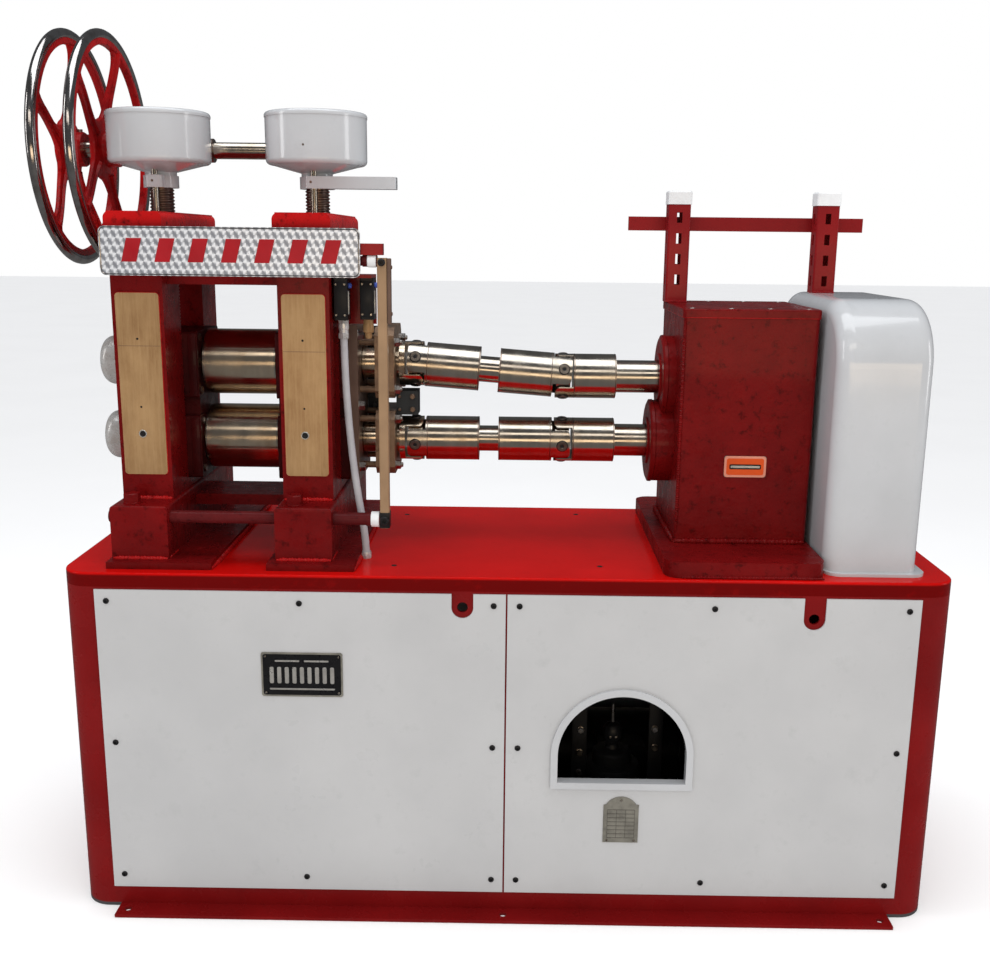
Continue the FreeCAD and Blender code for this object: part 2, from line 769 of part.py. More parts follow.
def chain_guard():
    hood = box(guard_x[0], guard_x[1], guard_y[0], guard_y[1], cabinet_height, guard_top)
    hood = rounded(hood, X_AXIS, guard_shoulder_radius, lambda m: m.z > guard_top - 1)
    rim = [e for e in hood.Edges
           if (abs(e.BoundBox.XMin - guard_x[0]) < 0.01 and abs(e.BoundBox.XMax - guard_x[0]) < 0.01
               or abs(e.BoundBox.XMin - guard_x[1]) < 0.01
               and abs(e.BoundBox.XMax - guard_x[1]) < 0.01)
           and e.BoundBox.ZMax > cabinet_height + 1]
    hood = hood.makeFillet(guard_edge_radius, rim)
    flange = rounded_box(guard_x[0] + 1, guard_x[1] + guard_flange_width,
                         guard_y[0] - guard_flange_width, guard_y[1] + 2,
                         cabinet_height, cabinet_height + guard_flange_thickness,
                         guard_edge_radius)
    return fuse([hood, flange])


# ---- uprights --------------------------------------------------------------
def upright(center_x, bottom):
    half = upright_size / 2
    inner_half = half - upright_wall
    tube = rounded_box(center_x - half, center_x + half, upright_y - half,
                       upright_y + half, bottom, upright_top, 4)
    inner = box(center_x - inner_half, center_x + inner_half, upright_y - inner_half,
                upright_y + inner_half, bottom - 1, upright_top + 1)
    width, height = upright_slot
    cutters = [inner]
    for row in range(upright_slot_count):
        z = upright_top - upright_slot_first - row * upright_slot_pitch
        cutters.append(box(center_x - width / 2, center_x + width / 2,
                           upright_y - half - 1, upright_y + half + 1,
                           z - height / 2, z + height / 2))
        cutters.append(box(center_x - half - 1, center_x + half + 1,
                           upright_y - width / 2, upright_y + width / 2,
                           z - height / 2, z + height / 2))
    return tube.cut(Part.makeCompound(cutters))


def upright_cap(center_x):
    half = upright_size / 2 + cap_lip
    top = upright_top + cap_height
    cap = rounded_box(center_x - half, center_x + half, upright_y - half,
                      upright_y + half, upright_top, top, 5)
    return cap.makeFillet(4, face_edges(cap, top))


def cross_bar():
    y0 = upright_y + upright_size / 2
    return box(cross_bar_x[0], cross_bar_x[1], y0, y0 + cross_bar_thickness,
               cross_bar_z - cross_bar_height / 2, cross_bar_z + cross_bar_height / 2)


# ---- screwdown gear --------------------------------------------------------
def gear_drum(center_x, through):
    case = rod_z(drum_radius - lid_groove, drum_bottom, drum_top - lid_height, center_x, line_y)
    case = case.makeFillet(drum_edge_radius, face_edges(case, drum_bottom))
    cone = Part.makeCone(drum_neck_radius, drum_shoulder_radius, drum_cone_height + 1,
                         V(center_x, line_y, drum_bottom - drum_cone_height))
    lid = rod_z(drum_radius, drum_top - lid_height, drum_top, center_x, line_y)
    lid = lid.makeFillet(lid_height * 0.7, face_edges(lid, drum_top))
    neck = rod_z(drum_neck_radius, collar_top, drum_bottom + 1, center_x, line_y)
    drum = fuse([case, lid, cone, neck])
    shaft = rod_x(cross_shaft_radius + shaft_clearance, center_x - drum_radius - 1,
                  center_x + (drum_radius + 1 if through else -drum_radius
                              + chord_inset() + cross_shaft_depth + 2),
                  worm_y, worm_z)
    drum = drum.cut(shaft)
    if through:
        mouth = center_x - drum_radius + chord_inset()
        drum = drum.cut(rod_x(sleeve_radius + shaft_clearance, center_x - drum_radius - 1,
                              mouth + sleeve_depth + 2, worm_y, worm_z))
    return drum.cut(rod_z(guide_rod_radius + shaft_clearance, drum_bottom - drum_cone_height - 1,
                          drum_bottom + 12, center_x, line_y - guide_rod_offset))


def chord_inset():
    """How far inside the drum's widest point the worm shaft meets its wall."""
    return drum_radius - math.sqrt(drum_radius ** 2 - worm_offset ** 2)


def collar(center_x, with_arm):
    ring = rod_z(collar_radius, collar_bottom, collar_top, center_x, line_y)
    lug = rounded_box(center_x - collar_lug_width / 2, center_x + collar_lug_width / 2,
                      line_y - collar_lug_reach, line_y, collar_bottom, collar_top, 7)
    pieces = [ring, lug]
    if with_arm:
        arm = rounded_box(center_x, center_x + collar_arm_reach,
                          line_y - collar_lug_reach, line_y - collar_lug_reach + collar_arm_width,
                          collar_bottom, collar_top, 3)
        pieces.append(arm)
    body = fuse(pieces)
    body = body.cut(rod_z(screw_radius + shaft_clearance, collar_bottom - 1, collar_top - 3,
                          center_x, line_y))
    return body.cut(rod_z(guide_rod_radius + shaft_clearance, collar_bottom - 1,
                          collar_top + 1, center_x, line_y - guide_rod_offset))


def screw(center_x):
    return rod_z(screw_radius, upper_axis_z + upper_chock_half, collar_top - 3,
                 center_x, line_y)


def guide_rod(center_x):
    return rod_z(guide_rod_radius, housing_top - 12, drum_bottom + 12,
                 center_x, line_y - guide_rod_offset)


# ---- handwheels ------------------------------------------------------------
def spoke(inner_radius, outer_radius):
    """Dished bar that rises along +Z from the hub's web to the rim's band."""
    half = spoke_thickness / 2
    outline = [
        V(-half - wheel_dish, 0, inner_radius),
        V(half - wheel_dish, 0, inner_radius),
        V(half, 0, outer_radius),
        V(-half, 0, outer_radius),
        V(-half - wheel_dish, 0, inner_radius),
    ]
    face = Part.Face(Part.makePolygon(outline))
    return face.extrude(V(0, spoke_width, 0)).translated(V(0, -spoke_width / 2, 0))


def handwheel(center_x, phase, bore_radius):
    ring_radius = wheel_radius - wheel_rim_radius
    rim = Part.makeTorus(ring_radius, wheel_rim_radius, V(0, 0, 0), X_AXIS)
    band_inner = ring_radius - wheel_rim_radius - wheel_band
    half_band = wheel_band_thickness / 2
    band = rod_x(ring_radius, -half_band, half_band, 0, 0).cut(
        rod_x(band_inner, -half_band - 1, half_band + 1, 0, 0))
    half_hub = wheel_hub_length / 2
    hub = rod_x(wheel_hub_radius, -half_hub, half_hub, 0, 0)
    web = rod_x(wheel_web_radius, -wheel_dish - spoke_thickness / 2,
                -wheel_dish + spoke_thickness / 2, 0, 0)
    pieces = [rim, band, hub, web]
    for number in range(wheel_spokes):
        arm = spoke(wheel_web_radius - 8, band_inner + 3)
        arm.rotate(V(0, 0, 0), X_AXIS, phase + number * 360.0 / wheel_spokes)
        pieces.append(arm)
    wheel = fuse(pieces).cut(rod_x(bore_radius, -wheel_hub_length, wheel_hub_length, 0, 0))
    wheel.translate(V(center_x, worm_y, worm_z))
    return wheel


def inner_handwheel():
    wheel = handwheel(inner_wheel_x, inner_wheel_phase, cross_shaft_radius + shaft_clearance)
    mouth = left_housing_x - drum_radius + chord_inset()
    sleeve = rod_x(sleeve_radius, inner_wheel_x + wheel_hub_length / 2,
                   mouth + sleeve_depth, worm_y, worm_z)
    sleeve = sleeve.cut(rod_x(cross_shaft_radius + shaft_clearance,
                              inner_wheel_x, mouth + sleeve_depth + 1, worm_y, worm_z))
    return fuse([wheel, sleeve])


def outer_handwheel():
    return handwheel(outer_wheel_x, outer_wheel_phase, cross_shaft_radius)


def cross_shaft():
    mouth = right_housing_x - drum_radius + chord_inset()
    return rod_x(cross_shaft_radius, outer_wheel_x - wheel_hub_length / 2 - 6,
                 mouth + cross_shaft_depth, worm_y, worm_z)


# ---- stop bar --------------------------------------------------------------
def sign_plate():
    return rounded_box(sign_x[0], sign_x[1], sign_front_y, sign_front_y + sign_thickness,
                       sign_z[0], sign_z[1], sign_corner_radius, Y_AXIS)


def stop_rails():
    """Pivot rod through the feet, and the rail that carries the sign."""
    end = lever_x[0]
    pivot = rod_x(stop_pivot_radius, left_housing_x - foot_width / 2 - 8, end,
                  stop_y, stop_pivot_z)
    pivot_collar = rod_x(stop_collar_radius, end - 2 * stop_collar_length, end,
                         stop_y, stop_pivot_z)
    rail = rod_x(stop_rail_radius, sign_x[0] + 30, end, stop_y, stop_rail_z)
    rail_collar = rod_x(stop_collar_radius - 3, end - 2 * stop_collar_length, end,
                        stop_y, stop_rail_z)
    clips = []
    clip_positions = (sign_x[0] + 60, (sign_x[0] + sign_x[1]) / 2, sign_x[1] - 30)
    for x in clip_positions:
        clips.append(box(x - stop_clip_width / 2, x + stop_clip_width / 2,
                         sign_front_y + sign_thickness, stop_y,
                         stop_rail_z - stop_rail_radius - 4, stop_rail_z + stop_rail_radius + 4))
    return [fuse([pivot, pivot_collar]), fuse([rail, rail_collar] + clips)]


def stop_head():
    """Block on the rail beside the sign."""
    return rounded_box(sign_x[1] - 1, lever_x[0] + 10, stop_y - 10, stop_y + 12,
                       stop_rail_z + stop_collar_radius - 3, stop_rail_z + 28, 2)


def lever_bar():
    half = lever_depth / 2
    return rounded_box(lever_x[0], lever_x[1], stop_y - half, stop_y + half,
                       stop_pivot_z - lever_foot, stop_rail_z + 5, 3)


# ---- switches and conduit --------------------------------------------------
def limit_switches():
    boxes = []
    for center in (switch_front_center, switch_back_center):
        boxes.append(rounded_box(center.x - switch_size.x / 2, center.x + switch_size.x / 2,
                                 center.y - switch_size.y / 2, center.y + switch_size.y / 2,
                                 switch_bottom, switch_bottom + switch_size.z, 3))
    return boxes


def switch_bracket():
    """Angle on the right housing that carries both switches."""
    x0 = right_housing_x + housing_width / 2
    x1 = switch_back_center.x + switch_size.x / 2
    y0 = switch_front_center.y - switch_size.y / 2
    y1 = switch_back_center.y + switch_size.y / 2
    z0 = switch_bottom + switch_size.z
    shelf = box(x0, x1, y0, y1, z0, z0 + switch_bracket_thickness)
    back = box(x0, x1, y1, y1 + switch_bracket_thickness,
               switch_bottom - 10, z0 + switch_bracket_thickness)
    return fuse([shelf, back])


def conduit():
    pieces = []
    start = conduit_points[0]
    for before, corner, after in zip(conduit_points, conduit_points[1:], conduit_points[2:]):
        inward = corner - before
        outward = after - corner
        shorter = min(inward.Length, outward.Length)
        turn = inward.getAngle(outward)
        radius = 0.45 * shorter / math.tan(turn / 2)
        setback = 0.45 * shorter
        inward.normalize()
        outward.normalize()
        arc_start = corner - inward * setback
        arc_end = corner + outward * setback
        bisector = outward - inward
        bisector.normalize()
        middle = corner + bisector * (radius / math.cos(turn / 2) - radius)
        pieces.append(Part.LineSegment(start, arc_start).toShape())
        pieces.append(Part.Arc(arc_start, middle, arc_end).toShape())
        print("conduit bend radius %.0f mm" % radius)
        start = arc_end
    pieces.append(Part.LineSegment(start, conduit_points[-1]).toShape())
    path = Part.Wire(pieces)
    section = Part.Wire([Part.makeCircle(conduit_radius, conduit_points[0],
                                         conduit_points[1] - conduit_points[0])])
    tube = path.makePipeShell([section], True, False)
    expected = math.pi * conduit_radius ** 2 * path.Length
    print("conduit length %.1f mm, volume ratio %.4f" % (path.Length, tube.Volume / expected))
    return tube


def conduit_fittings():
    top = conduit_points[0]
    foot = conduit_points[-1]
    nut = rod_z(conduit_nut_radius, switch_bottom - conduit_nut_height, switch_bottom,
                top.x, top.y)
    gland = rod_z(conduit_nut_radius, cabinet_height, cabinet_height + conduit_gland_height,
                  foot.x, foot.y)
    approach = conduit_points[-2] - foot
    approach.normalize()
    bore = Part.makeCylinder(conduit_radius, 3 * conduit_gland_height,
                             foot - approach * conduit_gland_height, approach)
    return [nut, gland.cut(bore)]


# ---- write the pieces ------------------------------------------------------
def main():
    os.makedirs("parts", exist_ok=True)
    front_foot = foot_rail()
    left_end = cabinet_end_left()
    write("base_pan", [base_pan()])
    write("foot_rails", [front_foot, mirrored_y(front_foot, 0)])
    write("cabinet_end_left", [left_end])
    write("cabinet_end_right", [left_end.mirror(V(0, 0, 0), X_AXIS)])
    upper_z = plate_bottom - upper_rail_height
    lower_z = pan_thickness + lower_rail_height
    write("upper_rails", [front_rail(upper_z, plate_bottom), back_rail(upper_z, plate_bottom)])
    write("lower_rails", [front_rail(pan_thickness, lower_z), back_rail(pan_thickness, lower_z)])
    write("mid_posts", [mid_post(), mirrored_y(mid_post(), 0)])
    write("top_plate", [top_plate()])
    for side, name in ((-1, "left"), (1, "right")):
        write("front_panel_" + name, [front_panel(side)])
        write("back_panel_" + name, [back_panel(side)])
    write("arch_trim", [arch_trim()])
    write("nameplates", nameplates())
    write("drive_motor", [drive_motor()])
    write("gear_reducer", [gear_reducer()])

    write("subplates", subplates())
    write("housing_left", [housing(left_housing_x)])
    write("housing_right", [housing(right_housing_x)])
    front_pads = [post_pad(left_housing_x), post_pad(right_housing_x)]
    write("post_pads", front_pads + [mirrored_y(pad, line_y) for pad in front_pads])
    write("tie_beams", tie_beams())
    write("chocks_left", left_chocks())
    write("chocks_right", right_chocks())
    write("roll_end_caps", [roll_end_cap(lower_axis_z), roll_end_cap(upper_axis_z)])
    write("keeper_plate", [keeper_plate()])
    write("drive_bearings", [drive_bearing(lower_axis_z, bearing_half_height),
                             drive_bearing(upper_axis_z, bearing_half_height + 12)])
    write("joint_block", [joint_block()])

    write("lower_roll", [roll(lower_axis_z, lower_joint_phase)])
    write("upper_roll", [roll(upper_axis_z, upper_joint_phase)])
    write("lower_spindle", [spindle(lower_axis_z, lower_axis_z, lower_joint_phase)])
    write("upper_spindle", [spindle(upper_axis_z, upper_pinion_z, upper_joint_phase)])
    engagement = pinion_x[0] + drive_shaft_engagement
    write("lower_drive_shaft", [drive_shaft(lower_axis_z, lower_joint_phase, engagement)])
    write("upper_drive_shaft", [drive_shaft(upper_pinion_z, upper_joint_phase, engagement)])

    write("pinion_stand", [pinion_stand()])
    write("pinion_cover", [pinion_cover()])
    write("chain_guard", [chain_guard()])
    write("upright_left", [upright(upright_x[0], pinion_top)])
    write("upright_right", [upright(upright_x[1], guard_top)])
    write("upright_caps", [upright_cap(x) for x in upright_x])
    write("cross_bar", [cross_bar()])

    write("gear_drum_left", [gear_drum(left_housing_x, True)])
    write("gear_drum_right", [gear_drum(right_housing_x, False)])
    write("collar_left", [collar(left_housing_x, False)])
    write("collar_arm", [collar(right_housing_x, True)])
    write("screws", [screw(left_housing_x), screw(right_housing_x)])
    write("guide_rods", [guide_rod(left_housing_x), guide_rod(right_housing_x)])
    write("inner_handwheel", [inner_handwheel()])
    write("outer_handwheel", [outer_handwheel()])
    write("cross_shaft", [cross_shaft()])

    write("sign_plate", [sign_plate()])
    write("stop_rails", stop_rails())
    write("stop_head", [stop_head()])
    write("lever_bar", [lever_bar()])
    write("limit_switches", limit_switches())
    write("switch_bracket", [switch_bracket()])
    write("conduit", [conduit()])
    write("conduit_fittings", conduit_fittings())


main()
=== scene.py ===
"""Looks for the two-high rolling mill: materials, small parts, light and camera.

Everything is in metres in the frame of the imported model: +X runs from the handwheels
to the chain guard, +Y to the back and +Z up.
"""
import math

import bmesh
import bpy
from mathutils import Matrix, Vector


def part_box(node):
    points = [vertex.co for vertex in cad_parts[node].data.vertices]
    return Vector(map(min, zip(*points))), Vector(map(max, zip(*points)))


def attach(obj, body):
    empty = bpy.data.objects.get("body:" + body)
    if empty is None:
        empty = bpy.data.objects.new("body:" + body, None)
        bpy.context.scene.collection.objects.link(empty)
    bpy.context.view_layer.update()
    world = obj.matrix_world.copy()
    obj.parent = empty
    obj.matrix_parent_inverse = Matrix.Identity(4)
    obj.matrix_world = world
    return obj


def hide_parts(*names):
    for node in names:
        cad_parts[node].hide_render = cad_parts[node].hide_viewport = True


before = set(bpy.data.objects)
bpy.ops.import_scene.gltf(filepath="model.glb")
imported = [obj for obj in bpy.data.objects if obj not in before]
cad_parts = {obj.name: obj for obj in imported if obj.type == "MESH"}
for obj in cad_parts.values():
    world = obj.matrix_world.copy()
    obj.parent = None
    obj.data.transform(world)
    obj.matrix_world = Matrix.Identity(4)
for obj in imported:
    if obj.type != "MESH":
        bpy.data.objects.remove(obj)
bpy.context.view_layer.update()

STAND = "stand"
X_AXIS = Vector((1, 0, 0))
Y_AXIS = Vector((0, 1, 0))
Z_AXIS = Vector((0, 0, 1))
FRONT = Vector((0, -1, 0))

# ---- places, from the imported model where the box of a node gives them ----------
BOX = {name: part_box(name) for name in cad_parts}


def low(node):
    return BOX[node][0]


def high(node):
    return BOX[node][1]


def middle(node):
    return (BOX[node][0] + BOX[node][1]) / 2


LINE_Y = middle("lower_roll").y
LOWER_Z = middle("lower_roll").z
UPPER_Z = middle("upper_roll").z
PLATE_Z = high("top_plate").z
PANEL_Y = low("front_panel_left").y
LEFT_X = middle("housing_left").x
RIGHT_X = middle("housing_right").x
POST_FRONT_Y = LINE_Y - 0.170
POST_BACK_Y = LINE_Y + 0.170
ROLL_FACE_LEFT = LEFT_X + 0.075
ROLL_FACE_RIGHT = RIGHT_X - 0.075
CROWN_Z = high("housing_left").z
FOOT_TOP = PLATE_Z + 0.105
WHEEL_Y = middle("cross_shaft").y
WHEEL_Z = middle("cross_shaft").z
ROLL_JOINT_X = -0.174
DRIVE_JOINT_X = 0.099
UPPER_PINION_Z = LOWER_Z + 0.120
PINION_LEFT_X = 0.300
PINION_RIGHT_X = 0.535
PINION_FRONT_Y = -0.113
PINION_BACK_Y = 0.153
CASE_SEAM_Z = low("pinion_cover").z


# ---- shader helpers ----------------------------------------------------------
class Shader:
    """A node material built up from a Principled shader and object coordinates."""

    def __init__(self, name, **sockets):
        self.material = bpy.data.materials.new(name)
        self.material.use_nodes = True
        self.tree = self.material.node_tree
        self.surface = self.tree.nodes["Principled BSDF"]
        self.place = self.node("ShaderNodeTexCoord").outputs["Object"]
        for key, value in sockets.items():
            self.surface.inputs[key.replace("_", " ")].default_value = value

    def node(self, kind, inputs=None, **settings):
        node = self.tree.nodes.new(kind)
        for key, value in settings.items():
            setattr(node, key, value)
        for key, value in (inputs or {}).items():
            node.inputs[key].default_value = value
        return node

    def link(self, source, target):
        self.tree.links.new(source, target)

    def noise(self, scale, detail=4.0, rough=0.55, stretch=(1, 1, 1)):
        mapping = self.node("ShaderNodeMapping", {"Scale": stretch})
        self.link(self.place, mapping.inputs["Vector"])
        node = self.node("ShaderNodeTexNoise",
                         {"Scale": scale, "Detail": detail, "Roughness": rough})
        self.link(mapping.outputs["Vector"], node.inputs["Vector"])
        return node.outputs["Fac"]

    def spots(self, scale):
        node = self.node("ShaderNodeTexVoronoi", {"Scale": scale}, feature="SMOOTH_F1")
        self.link(self.place, node.inputs["Vector"])
        return node.outputs["Distance"]

    def waver(self, scale, detail, low_value, high_value, rough=0.55, stretch=(1, 1, 1)):
        """Wanders between two values, as a rule the limits of a roughness."""
        cloud = self.noise(scale, detail, rough, stretch)
        return self.ramp(cloud, [(0.3, low_value), (0.7, high_value)])

    def ramp(self, fac, stops):
        """stops: (position, value or colour) pairs."""
        node = self.node("ShaderNodeValToRGB")
        elements = node.color_ramp.elements
        while len(elements) < len(stops):
            elements.new(0.5)
        for element, (position, value) in zip(elements, stops):
            element.position = position
            if isinstance(value, (int, float)):
                value = (value, value, value)
            element.color = (*value[:3], 1.0)
        self.link(fac, node.inputs["Fac"])
        return node.outputs["Color"]

    def maths(self, operation, a, b=None):
        node = self.node("ShaderNodeMath", operation=operation)
        for socket, value in zip(node.inputs, (a, b)):
            if value is None:
                continue
            if isinstance(value, (int, float)):
                socket.default_value = value
            else:
                self.link(value, socket)
        return node.outputs[0]

    def mix(self, fac, a, b):
        node = self.node("ShaderNodeMix", data_type="RGBA")
        self.link(fac, node.inputs[0])
        for socket, value in ((node.inputs[6], a), (node.inputs[7], b)):
            if isinstance(value, tuple):
                socket.default_value = (*value[:3], 1.0)
            else:
                self.link(value, socket)
        return node.outputs[2]

    def above(self, start, end):
        """Rises from 0 to 1 between two heights."""
        axes = self.node("ShaderNodeSeparateXYZ")
        self.link(self.place, axes.inputs[0])
        node = self.node("ShaderNodeMapRange", {"From Min": start, "From Max": end},
                         interpolation_type="SMOOTHSTEP")
        self.link(axes.outputs["Z"], node.inputs["Value"])
        return node.outputs["Result"]

    def colour(self, output):
        self.link(output, self.surface.inputs["Base Color"])

    def roughness(self, output):
        self.link(output, self.surface.inputs["Roughness"])

    def bump(self, *layers):
        """layers: (height, strength, distance in metres), the coarsest first."""
        normal = None
        for height, strength, distance in layers:
            node = self.node("ShaderNodeBump", {"Strength": strength, "Distance": distance})
            self.link(height, node.inputs["Height"])
            if normal is not None:
                self.link(normal, node.inputs["Normal"])
            normal = node.outputs["Normal"]
        self.link(normal, self.surface.inputs["Normal"])


# ---- materials ---------------------------------------------------------------
def enamel(name, deep, bright, rough, grime, wave=0.25, coat=0.10, specular=0.10, lower=None):
    """Sprayed gloss enamel: orange peel, slow waves and a little grime.

    lower is (start, end, colour): that colour below those heights, painted shade where an edge faces
    away from the light."""
    s = Shader(name, Coat_Weight=coat, Coat_Roughness=0.06, Specular_IOR_Level=specular)
    cloud = s.noise(6.0, 5.0)
    base = s.mix(s.ramp(cloud, [(0.35, 0.0), (0.68, 1.0)]), deep, bright)
    # painted shade: the given colour below the given heights
    if lower:
        base = s.mix(s.above(lower[0], lower[1]), lower[2], base)
    dirt = s.ramp(s.noise(24.0, 8.0, 0.7), [(0.56, 0.0), (0.80, 0.55)])
    s.colour(s.mix(dirt, base, grime))
    s.roughness(s.waver(15.0, 6.0, rough * 0.75, rough * 1.35))
    s.bump((s.noise(9.0, 2.0), wave, 0.004), (s.noise(420.0, 2.0), 0.10, 0.0006))
    return s.material


def cast_paint(name, deep, bright, rough=0.26, upper=None):
    """Gloss paint over a rough casting: lumps and pits under a glossy film.

    upper is (start, end, colour): that colour above those heights, painted light where the tops catch
    the light from above."""
    s = Shader(name, Coat_Weight=0.09, Coat_Roughness=0.07, Specular_IOR_Level=0.06)
    cloud = s.noise(9.0, 6.0)
    base = s.mix(s.ramp(cloud, [(0.34, 0.0), (0.70, 1.0)]), deep, bright)
    # painted light: the brighter colour above the given heights
    if upper:
        base = s.mix(s.above(upper[0], upper[1]), base, upper[2])
    pits = s.ramp(s.spots(150.0), [(0.02, 0.0), (0.30, 1.0)])
    shade = tuple(value * 0.45 for value in deep)
    low_spots = s.ramp(s.noise(60.0, 8.0, 0.7), [(0.30, 1.0), (0.46, 0.0)])
    s.colour(s.mix(low_spots, base, shade))
    s.roughness(s.waver(40.0, 6.0, rough * 0.7, rough * 1.5))
    s.bump((s.noise(34.0, 5.0, 0.6), 0.42, 0.004), (s.noise(190.0, 4.0), 0.30, 0.0014),
           (pits, 0.12, 0.0010))
    return s.material


def ground_steel(name, tint, rough, turned=True):
    """Ground round stock: fine rings about its axis, warm stains and smears of oil."""
    s = Shader(name, Metallic=1.0, Anisotropic=0.35)
    grain_stretch = (1.0, 0.03, 0.03) if turned else (0.03, 1.0, 1.0)
    rings = s.noise(1500.0, 2.0, stretch=grain_stretch)
    bands = s.noise(70.0, 3.0, stretch=(1.0, 0.02, 0.02))
    stain = s.noise(14.0, 7.0, 0.65)
    warm = (tint[0] * 0.80, tint[1] * 0.66, tint[2] * 0.50)
    bright = tuple(min(value * 1.12, 0.92) for value in tint)
    base = s.mix(s.ramp(bands, [(0.38, 0.0), (0.66, 1.0)]), tint, bright)
    stained = s.mix(s.ramp(stain, [(0.48, 0.0), (0.74, 0.75)]), base, warm)
    s.colour(stained)
    s.roughness(s.waver(30.0, 6.0, rough * 0.7, rough * 1.5, stretch=(1.0, 0.3, 0.3)))
    s.bump((rings, 0.10, 0.0003))
    return s.material


def plain_metal(name, tint, rough, stain_tint, metallic=1.0):
    s = Shader(name, Metallic=metallic)
    stain = s.ramp(s.noise(45.0, 7.0, 0.65), [(0.42, 0.0), (0.70, 0.8)])
    s.colour(s.mix(stain, tint, stain_tint))
    s.roughness(s.waver(60.0, 5.0, rough * 0.7, rough * 1.5))
    s.bump((s.noise(260.0, 4.0), 0.15, 0.0006))
    return s.material


def moulded(name, tint, rough, grain=500.0):
    """Moulded plastic, rubber or matt paint with a fine grain."""
    s = Shader(name, Specular_IOR_Level=0.22)
    cloud = s.ramp(s.noise(20.0, 6.0), [(0.35, 0.0), (0.75, 1.0)])
    dusty = tuple(min(value * 1.25 + 0.002, 1.0) for value in tint)
    s.colour(s.mix(cloud, tint, dusty))
    s.roughness(s.waver(90.0, 4.0, rough * 0.8, rough * 1.25))
    s.bump((s.noise(grain, 3.0), 0.18, 0.0005))
    return s.material


def bronze_pad(name):
    """Scraped bronze-coloured wear plate: vertical brush marks, mottled and polished."""
    s = Shader(name, Metallic=0.35, Specular_IOR_Level=0.3)
    streak = s.noise(240.0, 5.0, 0.7, stretch=(1.0, 1.0, 0.05))
    cloud = s.noise(22.0, 7.0, 0.65, stretch=(1.0, 1.0, 0.5))
    base = s.mix(s.ramp(cloud, [(0.34, 0.0), (0.68, 1.0)]),
                 (0.30, 0.165, 0.070), (0.44, 0.27, 0.125))
    s.colour(s.mix(s.ramp(streak, [(0.42, 0.0), (0.72, 0.50)]), base, (0.52, 0.34, 0.17)))
    s.roughness(s.ramp(cloud, [(0.3, 0.30), (0.7, 0.48)]))
    s.bump((streak, 0.12, 0.0004), (cloud, 0.10, 0.0010))
    return s.material


def engine_turned(name):
    """Bright aluminium turned in a close grid of overlapping round spots; each spot is brighter in
    two opposite quarters, a painted reflection of the turning.
    """
    s = Shader(name, Metallic=0.35, Specular_IOR_Level=0.4)
    axes = s.node("ShaderNodeSeparateXYZ")
    s.link(s.place, axes.inputs[0])
    pitch = 0.0125
    row = s.maths("FLOOR", s.maths("DIVIDE", axes.outputs["Z"], pitch))
    shift = s.maths("MULTIPLY", s.maths("MODULO", row, 2.0), 0.5)
    across = s.maths("ADD", s.maths("DIVIDE", axes.outputs["X"], pitch), shift)
    u = s.maths("SUBTRACT", s.maths("FRACT", across), 0.5)
    v = s.maths("SUBTRACT", s.maths("FRACT", s.maths("DIVIDE", axes.outputs["Z"], pitch)), 0.5)
    angle = s.maths("ARCTAN2", v, u)
    fan = s.maths("SINE", s.maths("ADD", s.maths("MULTIPLY", angle, 2.0), 0.8))
    spot_sheen = s.maths("ADD", s.maths("MULTIPLY", fan, 0.5), 0.5)
    s.colour(s.ramp(spot_sheen, [(0.05, (0.25, 0.26, 0.29)), (0.5, (0.52, 0.54, 0.58)),
                          (0.95, (0.84, 0.86, 0.90))]))
    s.roughness(s.waver(80.0, 4.0, 0.26, 0.42))
    s.bump((spot_sheen, 0.22, 0.0006))
    return s.material


RED = cast_paint("red_cast_paint", (0.105, 0.0028, 0.0032), (0.160, 0.0038, 0.0042), 0.30)
# the housings turn a brighter red above 1.190 to 1.218 m, on the crowns: painted light from above
RED_HOUSING = cast_paint("red_housing_paint_lit_crowns", (0.110, 0.0028, 0.0032), (0.165, 0.0038, 0.0042), 0.30,
                         upper=(1.190, 1.218, (0.50, 0.0060, 0.0065)))
PIN_STEEL = plain_metal("pin_steel", (0.26, 0.23, 0.20), 0.30, (0.12, 0.10, 0.09))
BEARING = plain_metal("bearing_bronze", (0.22, 0.135, 0.080), 0.36, (0.07, 0.042, 0.030), 0.5)
# bright red for raised paint lines, and for painted glints on weld beads and the lid seam
RED_BRIGHT = cast_paint("bright_red_paint_and_glints", (0.28, 0.006, 0.007), (0.40, 0.009, 0.009), 0.24)
# the chocks, set back between the posts, are a much darker red than the housings: painted shade
RED_DARK = cast_paint("red_chock_paint_shaded", (0.026, 0.0022, 0.0025), (0.055, 0.0040, 0.0042), 0.34)
RED_WHEEL = cast_paint("red_wheel_paint", (0.16, 0.003, 0.004), (0.40, 0.007, 0.007), 0.26)
RED_ROD = cast_paint("dull_rod_paint", (0.060, 0.006, 0.007), (0.110, 0.010, 0.011), 0.36)
RED_SHEET = enamel("red_sheet_enamel", (0.140, 0.0040, 0.0045), (0.190, 0.0055, 0.0060), 0.26,
                   (0.080, 0.004, 0.004))
RED_POST = enamel("red_post_enamel", (0.180, 0.0060, 0.0080), (0.250, 0.0085, 0.0100), 0.30,
                  (0.090, 0.005, 0.005))
